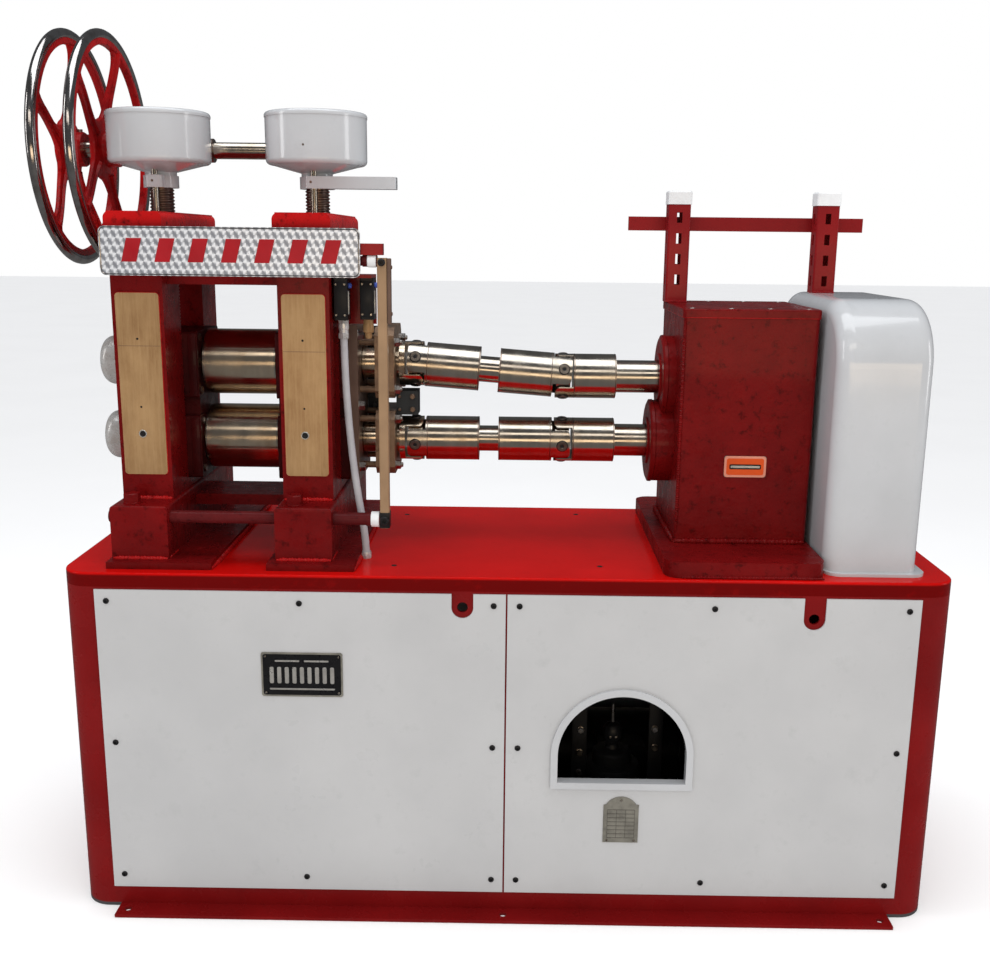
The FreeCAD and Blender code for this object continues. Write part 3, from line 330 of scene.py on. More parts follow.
# the top plate turns deep red below about 0.622 to 0.627 m, on its front edge: painted shade
RED_TOP = enamel("red_top_enamel_shaded_edge", (0.40, 0.0030, 0.0022), (0.50, 0.0038, 0.0030), 0.14,
                 (0.30, 0.003, 0.003), wave=0.06, coat=0.04, specular=0.05,
                 lower=(0.6220, 0.6268, (0.115, 0.002, 0.002)))
WHITE = enamel("white_sheet_enamel", (0.435, 0.440, 0.448), (0.475, 0.480, 0.487), 0.34,
               (0.36, 0.365, 0.37), wave=0.10, coat=0.2, specular=0.3)
WHITE_GLOSS = enamel("white_gloss_enamel", (0.440, 0.450, 0.465), (0.490, 0.502, 0.520), 0.16,
                     (0.38, 0.39, 0.40), wave=0.12, coat=0.6, specular=0.5)
STEEL = ground_steel("ground_steel", (0.66, 0.55, 0.42), 0.18)
SHAFT_STEEL = ground_steel("shaft_steel", (0.50, 0.455, 0.395), 0.18)
CHROME = plain_metal("rim_chrome", (0.48, 0.46, 0.45), 0.12, (0.26, 0.23, 0.21))
DARK_STEEL = plain_metal("dark_steel", (0.20, 0.15, 0.13), 0.34, (0.32, 0.24, 0.19))
BOLT_STEEL = plain_metal("bolt_steel", (0.46, 0.44, 0.42), 0.28, (0.20, 0.16, 0.13))
SILVER_PAINT = plain_metal("silver_paint", (0.50, 0.49, 0.48), 0.26, (0.36, 0.32, 0.29), 0.35)
BROWN = moulded("brown_plate_paint", (0.105, 0.062, 0.045), 0.36)
TAN = moulded("tan_lever_paint", (0.250, 0.155, 0.085), 0.40)
BLACK = moulded("black_plastic", (0.010, 0.010, 0.011), 0.36)
RUBBER = moulded("black_rubber", (0.020, 0.022, 0.022), 0.60)
BLUE = moulded("blue_lens", (0.045, 0.085, 0.36), 0.25)
FITTING = plain_metal("bright_fitting_metal", (0.60, 0.60, 0.61), 0.26, (0.34, 0.33, 0.32), 0.45)
PALE_PLASTIC = moulded("pale_plastic", (0.62, 0.63, 0.64), 0.34)
GREY_TUBE = moulded("grey_conduit", (0.36, 0.36, 0.38), 0.30)
PAN = moulded("pan_paint", (0.05, 0.05, 0.052), 0.55)
IRON = moulded("dark_iron", (0.016, 0.017, 0.019), 0.36)
# near-black for the drive inside the cabinet: painted shade, as little light reaches it through the
# arch
SHADED_INNER_IRON = moulded("shaded_inner_iron", (0.0035, 0.0035, 0.0040), 0.34)
DATA_PLATE = plain_metal("data_plate_metal", (0.24, 0.23, 0.195), 0.40, (0.12, 0.113, 0.098), 0.3)
DATA_INK = plain_metal("data_plate_ink", (0.105, 0.100, 0.085), 0.42, (0.070, 0.066, 0.055), 0.2)
BRONZE = bronze_pad("bronze_pad")
SIGN = engine_turned("engine_turned")
LABEL_BLACK = moulded("label_black", (0.006, 0.006, 0.007), 0.30)
LABEL_SILVER = plain_metal("label_silver", (0.58, 0.57, 0.54), 0.32, (0.40, 0.39, 0.37), 0.7)
LABEL_ORANGE = moulded("label_orange", (0.50, 0.055, 0.003), 0.34)
LABEL_PINK = moulded("label_rim", (0.50, 0.19, 0.13), 0.36)
SIGN_RED = moulded("sign_red", (0.29, 0.004, 0.009), 0.36)

NODE_MATERIALS = {
    PAN: ["base_pan"],
    RED_SHEET: ["foot_rails", "cabinet_end_left", "cabinet_end_right", "upper_rails",
                "lower_rails", "mid_posts", "switch_bracket"],
    RED_POST: ["upright_left", "upright_right", "cross_bar", "stop_head"],
    RED_TOP: ["top_plate"],
    WHITE: ["front_panel_left", "front_panel_right", "back_panel_left", "back_panel_right"],
    WHITE_GLOSS: ["chain_guard", "gear_drum_left", "gear_drum_right", "collar_left",
                  "collar_arm", "arch_trim"],
    DATA_PLATE: ["nameplates"],
    SHADED_INNER_IRON: ["drive_motor", "gear_reducer"],
    RED: ["subplates", "tie_beams", "pinion_stand", "pinion_cover"],
    RED_HOUSING: ["housing_left", "housing_right"],
    RED_DARK: ["chocks_left", "chocks_right"],
    RED_WHEEL: ["inner_handwheel", "outer_handwheel"],
    BRONZE: ["post_pads"],
    BEARING: ["drive_bearings"],
    SILVER_PAINT: ["roll_end_caps"],
    BROWN: ["keeper_plate"],
    TAN: ["lever_bar"],
    RUBBER: ["joint_block"],
    STEEL: ["lower_roll", "upper_roll"],
    SHAFT_STEEL: ["lower_spindle", "upper_spindle", "lower_drive_shaft",
                  "upper_drive_shaft", "cross_shaft", "guide_rods"],
    PALE_PLASTIC: ["upright_caps"],
    DARK_STEEL: ["screws"],
    RED_ROD: ["stop_rails"],
    SIGN: ["sign_plate"],
    BLACK: ["limit_switches"],
    GREY_TUBE: ["conduit"],
    BOLT_STEEL: ["conduit_fittings"],
}


def dress_nodes():
    for material, names in NODE_MATERIALS.items():
        for name in names:
            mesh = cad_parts[name].data
            mesh.materials.clear()
            mesh.materials.append(material)


# ---- mesh helpers ------------------------------------------------------------
def facing(axis, origin):
    """A transform that turns local +Z to axis and moves to origin."""
    turn = Z_AXIS.rotation_difference(Vector(axis).normalized()).to_matrix().to_4x4()
    return Matrix.Translation(Vector(origin)) @ turn


def add_ring(bm, place, points, height=0.0):
    return [bm.verts.new(place @ Vector((x, y, height))) for x, y in points]


def circle(radius, count, start=0.0):
    """Points spaced evenly round a circle."""
    angles = [start + 2 * math.pi * step / count for step in range(count)]
    return [(radius * math.cos(angle), radius * math.sin(angle)) for angle in angles]


def skin(bm, rings, closed=False):
    """Joins each ring to the next, then caps both ends or closes the loop."""
    pairs = list(zip(rings, rings[1:]))
    if closed:
        pairs.append((rings[-1], rings[0]))
    count = len(rings[0])
    for first, second in pairs:
        for step in range(count):
            nxt = (step + 1) % count
            bm.faces.new((first[step], first[nxt], second[nxt], second[step]))
    if not closed:
        bm.faces.new(list(reversed(rings[0])))
        bm.faces.new(rings[-1])


def add_lathe(bm, place, profile, segments=32):
    """Turns (radius, height) points about local Z; a zero radius closes an end."""
    rings = []
    for radius, height in profile:
        points = [(0, 0)] if radius < 1e-6 else circle(radius, segments)
        rings.append(add_ring(bm, place, points, height))
    for lower, upper in zip(rings, rings[1:]):
        for step in range(segments):
            nxt = (step + 1) % segments
            if len(lower) == 1 and len(upper) == 1:
                break
            if len(lower) == 1:
                bm.faces.new((lower[0], upper[nxt], upper[step]))
            elif len(upper) == 1:
                bm.faces.new((lower[step], lower[nxt], upper[0]))
            else:
                bm.faces.new((lower[step], lower[nxt], upper[nxt], upper[step]))


def add_rod(bm, start, end, radius, chamfer=0.001, segments=24):
    start, end = Vector(start), Vector(end)
    length = (end - start).length
    add_lathe(bm, facing(end - start, start),
              [(0, 0), (radius - chamfer, 0), (radius, chamfer),
               (radius, length - chamfer), (radius - chamfer, length), (0, length)], segments)


def add_block(bm, lower, upper, bevel):
    lower, upper = Vector(lower), Vector(upper)
    place = Matrix.Translation((lower + upper) / 2)
    size = Matrix.Diagonal((*(upper - lower), 1.0))
    made = bmesh.ops.create_cube(bm, size=1.0, matrix=place @ size)
    edges = list({edge for vert in made["verts"] for edge in vert.link_edges})
    bmesh.ops.bevel(bm, geom=edges, offset=bevel, segments=2, affect="EDGES", profile=0.5)


def add_prism(bm, place, outline, height, chamfer=0.0):
    """Raises a 2-D outline along local Z, with its top edge chamfered."""
    levels = [(0.0, 0.0), (0.0, height - chamfer)]
    if chamfer:
        levels.append((chamfer, height))
    centre = Vector((sum(p[0] for p in outline) / len(outline),
                     sum(p[1] for p in outline) / len(outline)))
    rings = []
    for inset, z in levels:
        arms = [Vector(point) - centre for point in outline]
        shrunk = [centre + arm * (1 - inset / max(arm.length, 1e-6)) for arm in arms]
        rings.append(add_ring(bm, place, shrunk, z))
    skin(bm, rings)


def hexagon(across_flats):
    return circle(across_flats / 2 / math.cos(math.pi / 6), 6, math.pi / 6)


def add_hex_bolt(bm, origin, axis, across_flats, height=None, washer=True):
    place = facing(axis, origin)
    base = 0.0
    if washer:
        base = across_flats * 0.10
        radius = across_flats * 0.62
        add_lathe(bm, place, [(0, 0), (radius, 0), (radius, base * 0.7),
                              (radius * 0.96, base), (0, base)], 28)
    lift = Matrix.Translation((0, 0, base))
    add_prism(bm, place @ lift, hexagon(across_flats), height or across_flats * 0.62,
              across_flats * 0.06)


def add_button_screw(bm, origin, axis, radius):
    """Low domed head with a round socket."""
    add_lathe(bm, facing(axis, origin),
              [(0, 0), (radius, 0), (radius, radius * 0.18), (radius * 0.86, radius * 0.42),
               (radius * 0.55, radius * 0.58), (radius * 0.40, radius * 0.60),
               (radius * 0.36, radius * 0.20), (0, radius * 0.18)], 24)


def add_bead(bm, points, radius):
    """A round bead swept along a closed loop of points."""
    rings = []
    for index, point in enumerate(points):
        before = Vector(points[index - 1])
        after = Vector(points[(index + 1) % len(points)])
        rings.append(add_ring(bm, facing(after - before, point), circle(radius, 8)))
    skin(bm, rings, closed=True)


def add_socket_screw(bm, origin, axis, radius):
    """Cylindrical head with a round socket."""
    add_lathe(bm, facing(axis, origin),
              [(0, 0), (radius, 0), (radius, radius * 0.85), (radius * 0.9, radius),
               (radius * 0.55, radius), (radius * 0.50, radius * 0.45), (0, radius * 0.40)], 24)


def add_flush_screw(bm, origin, axis, radius):
    """Countersunk head, level with the face it holds down."""
    add_lathe(bm, facing(axis, origin),
              [(radius, 0), (radius * 0.96, 0.0004), (radius * 0.45, 0.0005),
               (radius * 0.40, 0.0001), (0, 0.0001)], 24)


def add_dimple(bm, origin, axis, radius):
    """Dark dished disc a hair proud of the face it is in, for the mouth of a drilled hole: its dark
    is painted shade of the hole's inside.
    """
    add_lathe(bm, facing(axis, origin),
              [(radius, 0), (radius * 0.97, 0.0002), (radius * 0.80, 0.0003),
               (radius * 0.66, 0.00015), (0, 0.0001)], 24)


def rounded_outline(x0, x1, z0, z1, radius):
    """Rectangle with rounded corners."""
    steps = 5
    corners = ((x1 - radius, z1 - radius, 0), (x0 + radius, z1 - radius, 90),
               (x0 + radius, z0 + radius, 180), (x1 - radius, z0 + radius, 270))
    points = []
    for x, z, start in corners:
        for step in range(steps + 1):
            angle = math.radians(start + 90 * step / steps)
            points.append((x + radius * math.cos(angle), z + radius * math.sin(angle)))
    return points


def front_loop(x0, x1, z0, z1, radius, y):
    return [(x, y, z) for x, z in rounded_outline(x0, x1, z0, z1, radius)]


def level_loop(x0, x1, y0, y1, radius, z):
    return [(x, y, z) for x, y in rounded_outline(x0, x1, y0, y1, radius)]


def upright(face_y):
    """Turns local X and Y to +X and +Z, on a face that looks to the front."""
    return Matrix(((1, 0, 0, 0), (0, 0, -1, face_y), (0, 1, 0, 0), (0, 0, 0, 1)))


def add_panel(bm, x0, x1, z0, z1, face_y, height, radius):
    """Thin plate with rounded corners standing off a face that looks to the front."""
    add_prism(bm, upright(face_y), rounded_outline(x0, x1, z0, z1, radius), height, height * 0.4)


def add_weld(bm, start, end, radius, seed=1):
    """Lumpy bead of weld along a line."""
    start, end = Vector(start), Vector(end)
    length = (end - start).length
    count = max(8, int(length / (radius * 0.45)))
    rings = []
    place = facing(end - start, start)
    for index in range(count + 1):
        t = index / count
        swell = 1 + 0.16 * math.sin(index * 2.1 + seed) + 0.10 * math.sin(index * 0.83 + 2 * seed)
        taper = min(1.0, 0.45 + 6 * min(t, 1 - t))
        rings.append(add_ring(bm, place, circle(radius * swell * taper, 12), t * length))
    skin(bm, rings)


def add_object(name, data):
    item = bpy.data.objects.new(name, data)
    bpy.context.scene.collection.objects.link(item)
    return item


PIECES = []


def start_piece(name, material, slot, body=STAND, sharp=32, replaces=None):
    """An empty mesh for a new piece. finish_pieces() turns it into an object."""
    bm = bmesh.new()
    PIECES.append((bm, name, material, slot, body, sharp, replaces))
    return bm


def finish_pieces():
    for bm, name, material, slot, body, sharp, replaces in PIECES:
        bmesh.ops.remove_doubles(bm, verts=bm.verts, dist=0.000002)
        bmesh.ops.recalc_face_normals(bm, faces=bm.faces)
        mesh = bpy.data.meshes.new(name)
        bm.to_mesh(mesh)
        bm.free()
        mesh.materials.append(material)
        mesh.polygons.foreach_set("use_smooth", [True] * len(mesh.polygons))
        mesh.set_sharp_from_angle(angle=math.radians(sharp))
        piece = add_object(name, mesh)
        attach(piece, body)
        if replaces:
            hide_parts(replaces)


def spread(first, last, count):
    return [first + (last - first) * k / (count - 1) for k in range(count)]


# ---- cabinet details -----------------------------------------------------------
def panel_screws():
    bm = start_piece("panel_screws", BLACK, "dark_plastic")
    for side in (-1, 1):
        spots = [(side * x, z) for x in (0.022, 0.352, 0.680) for z in (0.065, 0.579)]
        spots += [(side * 0.022, 0.320), (side * 0.680, 0.320)]
        for x, z in spots:
            add_button_screw(bm, (x, PANEL_Y, z), FRONT, 0.0052)
            add_button_screw(bm, (x, high("back_panel_left").y, z), Y_AXIS, 0.0052)


def plate_holes():
    # black discs for the tapped holes: painted shade of their insides
    bm = start_piece("plate_tapped_holes", BLACK, "dark_plastic")
    for x, y in ((-0.208, 0.176), (0.141, 0.195), (-0.197, -0.189), (0.162, -0.179)):
        add_dimple(bm, (x, y, PLATE_Z), Z_AXIS, 0.0050)


def add_rivets(bm, centers, face_y, radius):
    for x, z in centers:
        add_lathe(bm, facing(FRONT, (x, face_y, z)),
                  [(0, 0), (radius, 0), (radius * 0.9, radius * 0.35),
                   (radius * 0.5, radius * 0.6), (0, radius * 0.66)], 16)


def maker_plate():
    """Black field with a bright border, bright bars and a plain ribbed panel."""
    x0, x1 = -0.420, -0.280
    z0, z1 = 0.411, 0.491
    face = low("nameplates").y
    field = start_piece("maker_plate_field", LABEL_BLACK, "label_plate")
    add_panel(field, x0 + 0.003, x1 - 0.003, z0 + 0.003, z1 - 0.003, face, 0.0004, 0.004)
    bright = start_piece("maker_plate_bars", LABEL_SILVER, "label_plate")
    for left, right, z in ((x0 + 0.024, x0 + 0.066, z1 - 0.015),
                           (x0 + 0.074, x1 - 0.024, z1 - 0.015),
                           (x0 + 0.014, x1 - 0.014, z0 + 0.014)):
        add_panel(bright, left, right, z - 0.0015, z + 0.0015, face, 0.0008, 0.0012)
    for x in spread(x0 + 0.018, x1 - 0.018, 9):
        add_panel(bright, x - 0.0035, x + 0.0035, z0 + 0.024, z1 - 0.026, face, 0.0008, 0.0025)
    rivets = start_piece("maker_plate_rivets", BOLT_STEEL, "bright_fitting")
    corners = [(x, z) for x in (x0 + 0.007, x1 - 0.007) for z in (z0 + 0.007, z1 - 0.007)]
    add_rivets(rivets, corners, face - 0.0004, 0.0022)


def data_plate():
    """Arch-topped plate with blank ruled lines."""
    face = low("nameplates").y
    x0, x1 = 0.182, 0.230
    lines = start_piece("data_plate_lines", DATA_INK, "label_plate")
    for z in spread(0.152, 0.206, 8):
        add_panel(lines, x0, x1, z - 0.0005, z + 0.0005, face, 0.0003, 0.0004)
    for x in (x0, 0.198, 0.214, x1):
        add_panel(lines, x - 0.0004, x + 0.0004, 0.152, 0.206, face, 0.0003, 0.0003)
    rivets = start_piece("data_plate_rivets", BOLT_STEEL, "bright_fitting")
    add_rivets(rivets, [(0.206, 0.224), (0.182, 0.147), (0.230, 0.147)], face, 0.0020)


def case_label():
    """Orange plate with a pale rim and a plain bar."""
    face = PINION_FRONT_Y - 0.0015
    parts = (("rim", LABEL_PINK, 0.382, 0.456, 0.777, 0.815, 0.0005, 0.006),
             ("field", LABEL_ORANGE, 0.386, 0.452, 0.781, 0.811, 0.0008, 0.004),
             ("bar_edge", LABEL_BLACK, 0.391, 0.447, 0.7915, 0.8005, 0.0010, 0.002),
             ("bar", LABEL_SILVER, 0.393, 0.445, 0.7940, 0.7980, 0.0013, 0.001))
    for part, material, x0, x1, z0, z1, height, radius in parts:
        panel = start_piece("case_label_" + part, material, "label_plate")
        add_panel(panel, x0, x1, z0, z1, face, height, radius)


def inside_drive():
    """Stepped casting, cap and dipstick seen through the arched window."""
    # the casting, frame plates and fins are near-black: painted shade inside the cabinet
    casting = start_piece("drive_casting", SHADED_INNER_IRON, "dark_iron")
    x, y = 0.201, -0.112
    add_lathe(casting, facing(Z_AXIS, (x, y, 0.006)),
              [(0, 0), (0.064, 0), (0.064, 0.012), (0.050, 0.020), (0.048, 0.190),
               (0.054, 0.196), (0.054, 0.212), (0.050, 0.221), (0.038, 0.224),
               (0.036, 0.236), (0.036, 0.243), (0.032, 0.247), (0.014, 0.250),
               (0.012, 0.258), (0.014, 0.262), (0.0175, 0.270), (0.0185, 0.279),
               (0.0175, 0.288), (0.0130, 0.296), (0.0050, 0.300), (0, 0.300)], 40)
    rod = start_piece("drive_dipstick", BOLT_STEEL, "bright_fitting")
    add_rod(rod, (x, y, 0.3060), (x, y, 0.342), 0.0028, 0.0008, 16)
    for dx in (-0.005, 0.005):
        add_button_screw(rod, (x + dx, y - 0.0180, 0.283), FRONT, 0.0026)
    frame_plates = start_piece("drive_frame_plates", SHADED_INNER_IRON, "dark_iron")
    for x0, x1 in ((0.124, 0.152), (0.266, 0.292)):
        add_block(frame_plates, (x0, -0.132, 0.006), (x1, -0.124, 0.352), 0.0015)
    bolts = start_piece("drive_frame_bolts", BOLT_STEEL, "bright_fitting")
    for x, z in ((0.140, 0.299), (0.139, 0.254), (0.138, 0.213), (0.277, 0.303), (0.278, 0.266)):
        add_hex_bolt(bolts, (x, -0.132, z), FRONT, 0.010)
    fins = start_piece("motor_fins", SHADED_INNER_IRON, "dark_iron")
    box_low, box_high = BOX["drive_motor"]
    centre_y, centre_z = 0.060, 0.170
    for x in spread(box_low.x + 0.030, box_high.x - 0.040, 14):
        add_lathe(fins, facing(X_AXIS, (x, centre_y, centre_z)),
                  [(0.060, 0), (0.0815, 0), (0.0818, 0.0015), (0.0815, 0.003), (0.060, 0.003)], 40)


# ---- roll stand ----------------------------------------------------------------
def pad_marks():
    """Holes in the pads as black discs of painted shade, a bright rim round the largest, and the
    joint between two plates.
    """
    holes = start_piece("pad_holes", BLACK, "dark_plastic")
    rims = start_piece("pad_hole_rims", LABEL_SILVER, "label_plate")
    seams = start_piece("pad_joint_lines", BROWN, "brown_plate")
    rim_z, rim_radius = 0.849, 0.0052
    face, back = low("post_pads").y, high("post_pads").y
    for x, seam_z in ((LEFT_X, 1.001), (RIGHT_X, 0.994)):
        for face_y, outward in ((face, FRONT), (back, Y_AXIS)):
            for z, radius in ((1.013, 0.0020), (0.896, 0.0018), (rim_z, rim_radius)):
                add_dimple(holes, (x - 0.0025, face_y, z), outward, radius)
            add_lathe(rims, facing(outward, (x - 0.0025, face_y, rim_z)),
                      [(rim_radius, 0), (0.0054, 0.0006), (0.0064, 0.0007), (0.0070, 0)], 32)
        add_panel(seams, x - 0.036, x + 0.036, seam_z - 0.0003, seam_z + 0.0003, face,
                  0.00015, 0.0002)


def pad_rims():
    """Raised paint line left round each pad."""
    bm = start_piece("pad_paint_lines", RED_BRIGHT, "red_cast")
    y = POST_FRONT_Y
    z0, z1 = low("post_pads").z, high("post_pads").z
    for x in (LEFT_X, RIGHT_X):
        half = 0.037
        loop = front_loop(x - half, x + half, z0, z1, 0.006, y)
        add_bead(bm, loop, 0.0012)


def foot_bolts():
    bm = start_piece("foot_bolts", RED, "red_cast")
    for x in (LEFT_X, RIGHT_X):
        for y in (POST_FRONT_Y - 0.032, POST_BACK_Y + 0.032):
            add_hex_bolt(bm, (x - 0.018, y, FOOT_TOP), Z_AXIS, 0.025)


def housing_welds():
    """Rough beads of weld along the feet and the crowns, in a brighter red and in white: painted
    glints.
    """
    feet = start_piece("foot_weld_beads", RED_BRIGHT, "red_cast")
    crowns = start_piece("crown_seam_glints", WHITE_GLOSS, "white_enamel")
    for x in (LEFT_X, RIGHT_X):
        for side, y in ((-1, POST_FRONT_Y), (1, POST_BACK_Y)):
            add_weld(feet, (x - 0.042, y, FOOT_TOP + 0.001), (x + 0.042, y, FOOT_TOP + 0.001), 0.0042)
            add_weld(feet, (x - 0.047, y + side * 0.060, PLATE_Z + 0.013),
                     (x + 0.047, y + side * 0.060, PLATE_Z + 0.013), 0.0040)
        for dx in (-0.046, 0.046):
            add_weld(feet, (x + dx, POST_FRONT_Y - 0.056, PLATE_Z + 0.013),
                     (x + dx, POST_FRONT_Y - 0.002, PLATE_Z + 0.013), 0.0036)
        add_weld(crowns, (x + 0.010, POST_FRONT_Y + 0.004, CROWN_Z - 0.004),
                 (x + 0.010, POST_FRONT_Y + 0.060, CROWN_Z), 0.0016)
    for x in (LEFT_X + 0.127, RIGHT_X + 0.089):
        add_weld(feet, (x, low("subplates").y + 0.004, PLATE_Z + 0.002),
                 (x, high("subplates").y - 0.004, PLATE_Z + 0.002), 0.0046, seed=3)


def screw_threads():
    """The screwdown screws with their trapezoidal threads."""
    bm = start_piece("screw_threads", DARK_STEEL, "dark_steel", sharp=25, replaces="screws")
    z0, z1 = low("screws").z, high("screws").z
    pitch = 0.006
    turns = int((z1 - z0 - 0.012) / pitch)
    for x in (LEFT_X, RIGHT_X):
        profile = [(0, 0), (0.0195, 0), (0.0195, 0.004)]
        for turn in range(turns):
            z = 0.004 + turn * pitch
            profile += [(0.0198, z + 0.0006), (0.0219, z + 0.0022), (0.0219, z + 0.0038),
                        (0.0198, z + 0.0054)]
        profile += [(0.0219, z1 - z0 - 0.006), (0.0219, z1 - z0), (0, z1 - z0)]
        add_lathe(bm, facing(Z_AXIS, (x, LINE_Y, z0)), profile, 30)


def chock_details():
    bolts = start_piece("chock_bolts", DARK_STEEL, "dark_steel")
    # the liners take the chocks' darker red: painted shade
    plates = start_piece("chock_liners", RED_DARK, "red_cast")
    for x, outward in ((high("chocks_left").x, X_AXIS), (low("chocks_right").x, -X_AXIS)):
        for z in (LOWER_Z - 0.052, LOWER_Z + 0.036, UPPER_Z - 0.048, UPPER_Z + 0.048):
            for y in (LINE_Y - 0.056, LINE_Y + 0.056):
                add_hex_bolt(bolts, (x, y, z), outward, 0.013, 0.0025, washer=False)
    for x in (LEFT_X + 0.061, RIGHT_X - 0.061):
        for z0, z1 in ((0.758, 0.862), (0.902, 1.014)):
            add_block(plates, (x - 0.0075, LINE_Y - 0.0745, z0), (x + 0.0075, LINE_Y - 0.0715, z1),
                      0.0008)


def bearing_nuts():
    bm = start_piece("bearing_nuts", BOLT_STEEL, "bright_fitting")
    face = high("drive_bearings").x
    for axis_z in (LOWER_Z, UPPER_Z):
        for y in (LINE_Y - 0.050, LINE_Y + 0.050):
            for z in (axis_z - 0.043, axis_z + 0.043):
                add_hex_bolt(bm, (face, y, z), X_AXIS, 0.015, 0.008)
                place = facing(X_AXIS, (face + 0.0095, y, z))
                add_lathe(bm, place, [(0, 0), (0.0045, 0), (0.0045, 0.003), (0.0035, 0.004),
                                      (0, 0.004)], 18)
    keeper = high("keeper_plate").x
    for y in (LINE_Y - 0.068, LINE_Y + 0.068):
        for z in (0.775, 0.888, 1.015):
            add_hex_bolt(bm, (keeper, y, z), X_AXIS, 0.016, 0.009)


def bearing_back():
    """Ribbed dark plate behind the roll necks, between keeper and bearings: a dark sheet that paints
    the shade there.
    """
    bm = start_piece("bearing_back_shade_plate", IRON, "dark_iron")
    x0, x1 = high("keeper_plate").x + 0.0005, high("keeper_plate").x + 0.0285
    y = 0.074
    add_block(bm, (x0, y, 0.768), (x1, y + 0.005, 1.022), 0.001)
    for z in (0.800, 0.888, 0.976):
        add_block(bm, (x0, y - 0.004, z - 0.004), (x1, y + 0.001, z + 0.004), 0.001)
    for z in (0.784, 0.872, 0.904, 1.006):
        add_hex_bolt(bm, (x0 + 0.014, y, z), FRONT, 0.010)


def end_cap_details():
    ring = start_piece("end_cap_rings", SILVER_PAINT, "silver_paint")
    x = low("roll_end_caps").x
    root = high("roll_end_caps").x
    for z in (LOWER_Z, UPPER_Z):
        add_lathe(ring, facing(-X_AXIS, (root, LINE_Y, z)),
                  [(0.0449, 0.000), (0.0475, 0.0005), (0.0480, 0.004), (0.0475, 0.0075),
                   (0.0449, 0.0080), (0.0449, 0.000)], 48)
        for step in range(6):
            angle = math.pi / 3 * step + 0.3
            add_hex_bolt(ring, (root - 0.0078, LINE_Y + 0.0415 * math.cos(angle),
                                z + 0.0415 * math.sin(angle)), -X_AXIS, 0.006, 0.003, washer=False)
        add_lathe(ring, facing(-X_AXIS, (x + 0.0002, LINE_Y, z)),
                  [(0.008, 0), (0.0078, 0.0002), (0.004, 0.0002), (0.0035, -0.0005),
                   (0, -0.0006)], 24)


def joint_block_details():
    """Studs across the rubber block and a bolt in front beside each."""
    bm = start_piece("joint_block_studs", DARK_STEEL, "dark_steel")
    lower, upper = BOX["joint_block"]
    z = (lower.z + upper.z) / 2
    for dz in (-0.012, 0.012):
        add_rod(bm, (lower.x + 0.006, lower.y - 0.003, z + dz),
                (lower.x + 0.006, upper.y + 0.003, z + dz), 0.0030, 0.0008, 16)
        add_hex_bolt(bm, (upper.x - 0.010, lower.y, z + dz), FRONT, 0.008, 0.004)


# ---- spindles ------------------------------------------------------------------
# Staked end of a trunnion a hair proud of the fork's ear, its dark centre hole as a black disc of
# painted shade, and the shadow line round it, painted as a black ring
EAR_REACH = 0.0412
PIN_END = [(0.0096, -0.0030), (0.0096, 0.0008), (0.0088, 0.0014), (0.0042, 0.0014),
           (0.0034, 0.0008), (0, 0.0008)]
PIN_CENTRE = [(0.0033, 0.0009), (0.0028, 0.0011), (0.0015, 0.0010), (0, 0.0010)]
PIN_SHADOW = [(0.0096, -0.0030), (0.0108, -0.0030), (0.0108, -0.00010), (0.0096, 0.00010)]


def joint_pins():
    """Pin ends on the universal joints, riding with the fork that holds them."""
    joints = (("upper", 23.0, UPPER_Z, UPPER_PINION_Z), ("lower", -9.0, LOWER_Z, LOWER_Z))
    for level, phase, roll_z, drive_z in joints:
        angle = math.radians(phase)
        tilt = math.atan2(roll_z - drive_z, DRIVE_JOINT_X - ROLL_JOINT_X)
        across = Matrix.Rotation(tilt, 3, "Y") @ Vector((0, -math.cos(angle), math.sin(angle)))
        along = Vector((0, math.sin(angle), math.cos(angle)))
        near = Vector((ROLL_JOINT_X, LINE_Y, roll_z))
        far = Vector((DRIVE_JOINT_X, LINE_Y, drive_z))
        for body, ends in ((level + "_spindle", ((near, across), (far, across))),
                           (level + "_roll", ((near, along),)),
                           (level + "_drive_shaft", ((far, along),))):
            rings = start_piece(body + "_pin_ends", PIN_STEEL, "ground_steel", body)
            # black centre discs and black rings round the pin ends: painted shade and painted shadow
            holes = start_piece(body + "_pin_shade_discs", BLACK, "dark_plastic", body)
            for centre, axis in ends:
                for direction in (axis, -axis):
                    place = facing(direction, centre + direction * EAR_REACH)
                    add_lathe(rings, place, PIN_END, 30)
                    add_lathe(holes, place, PIN_CENTRE, 20)
                    add_lathe(holes, place, PIN_SHADOW, 30)


def add_hoops(bm, start, direction, distances, inner, outer, root, crest, segments=60):
    """Thin hoops round a shaft, as wide as root at their foot and as crest at their top."""
    for distance in distances:
        add_lathe(bm, facing(direction, start + direction * distance),
                  [(inner, -root), (outer, -crest), (outer, crest), (inner, root),
                   (inner, -root)], segments)


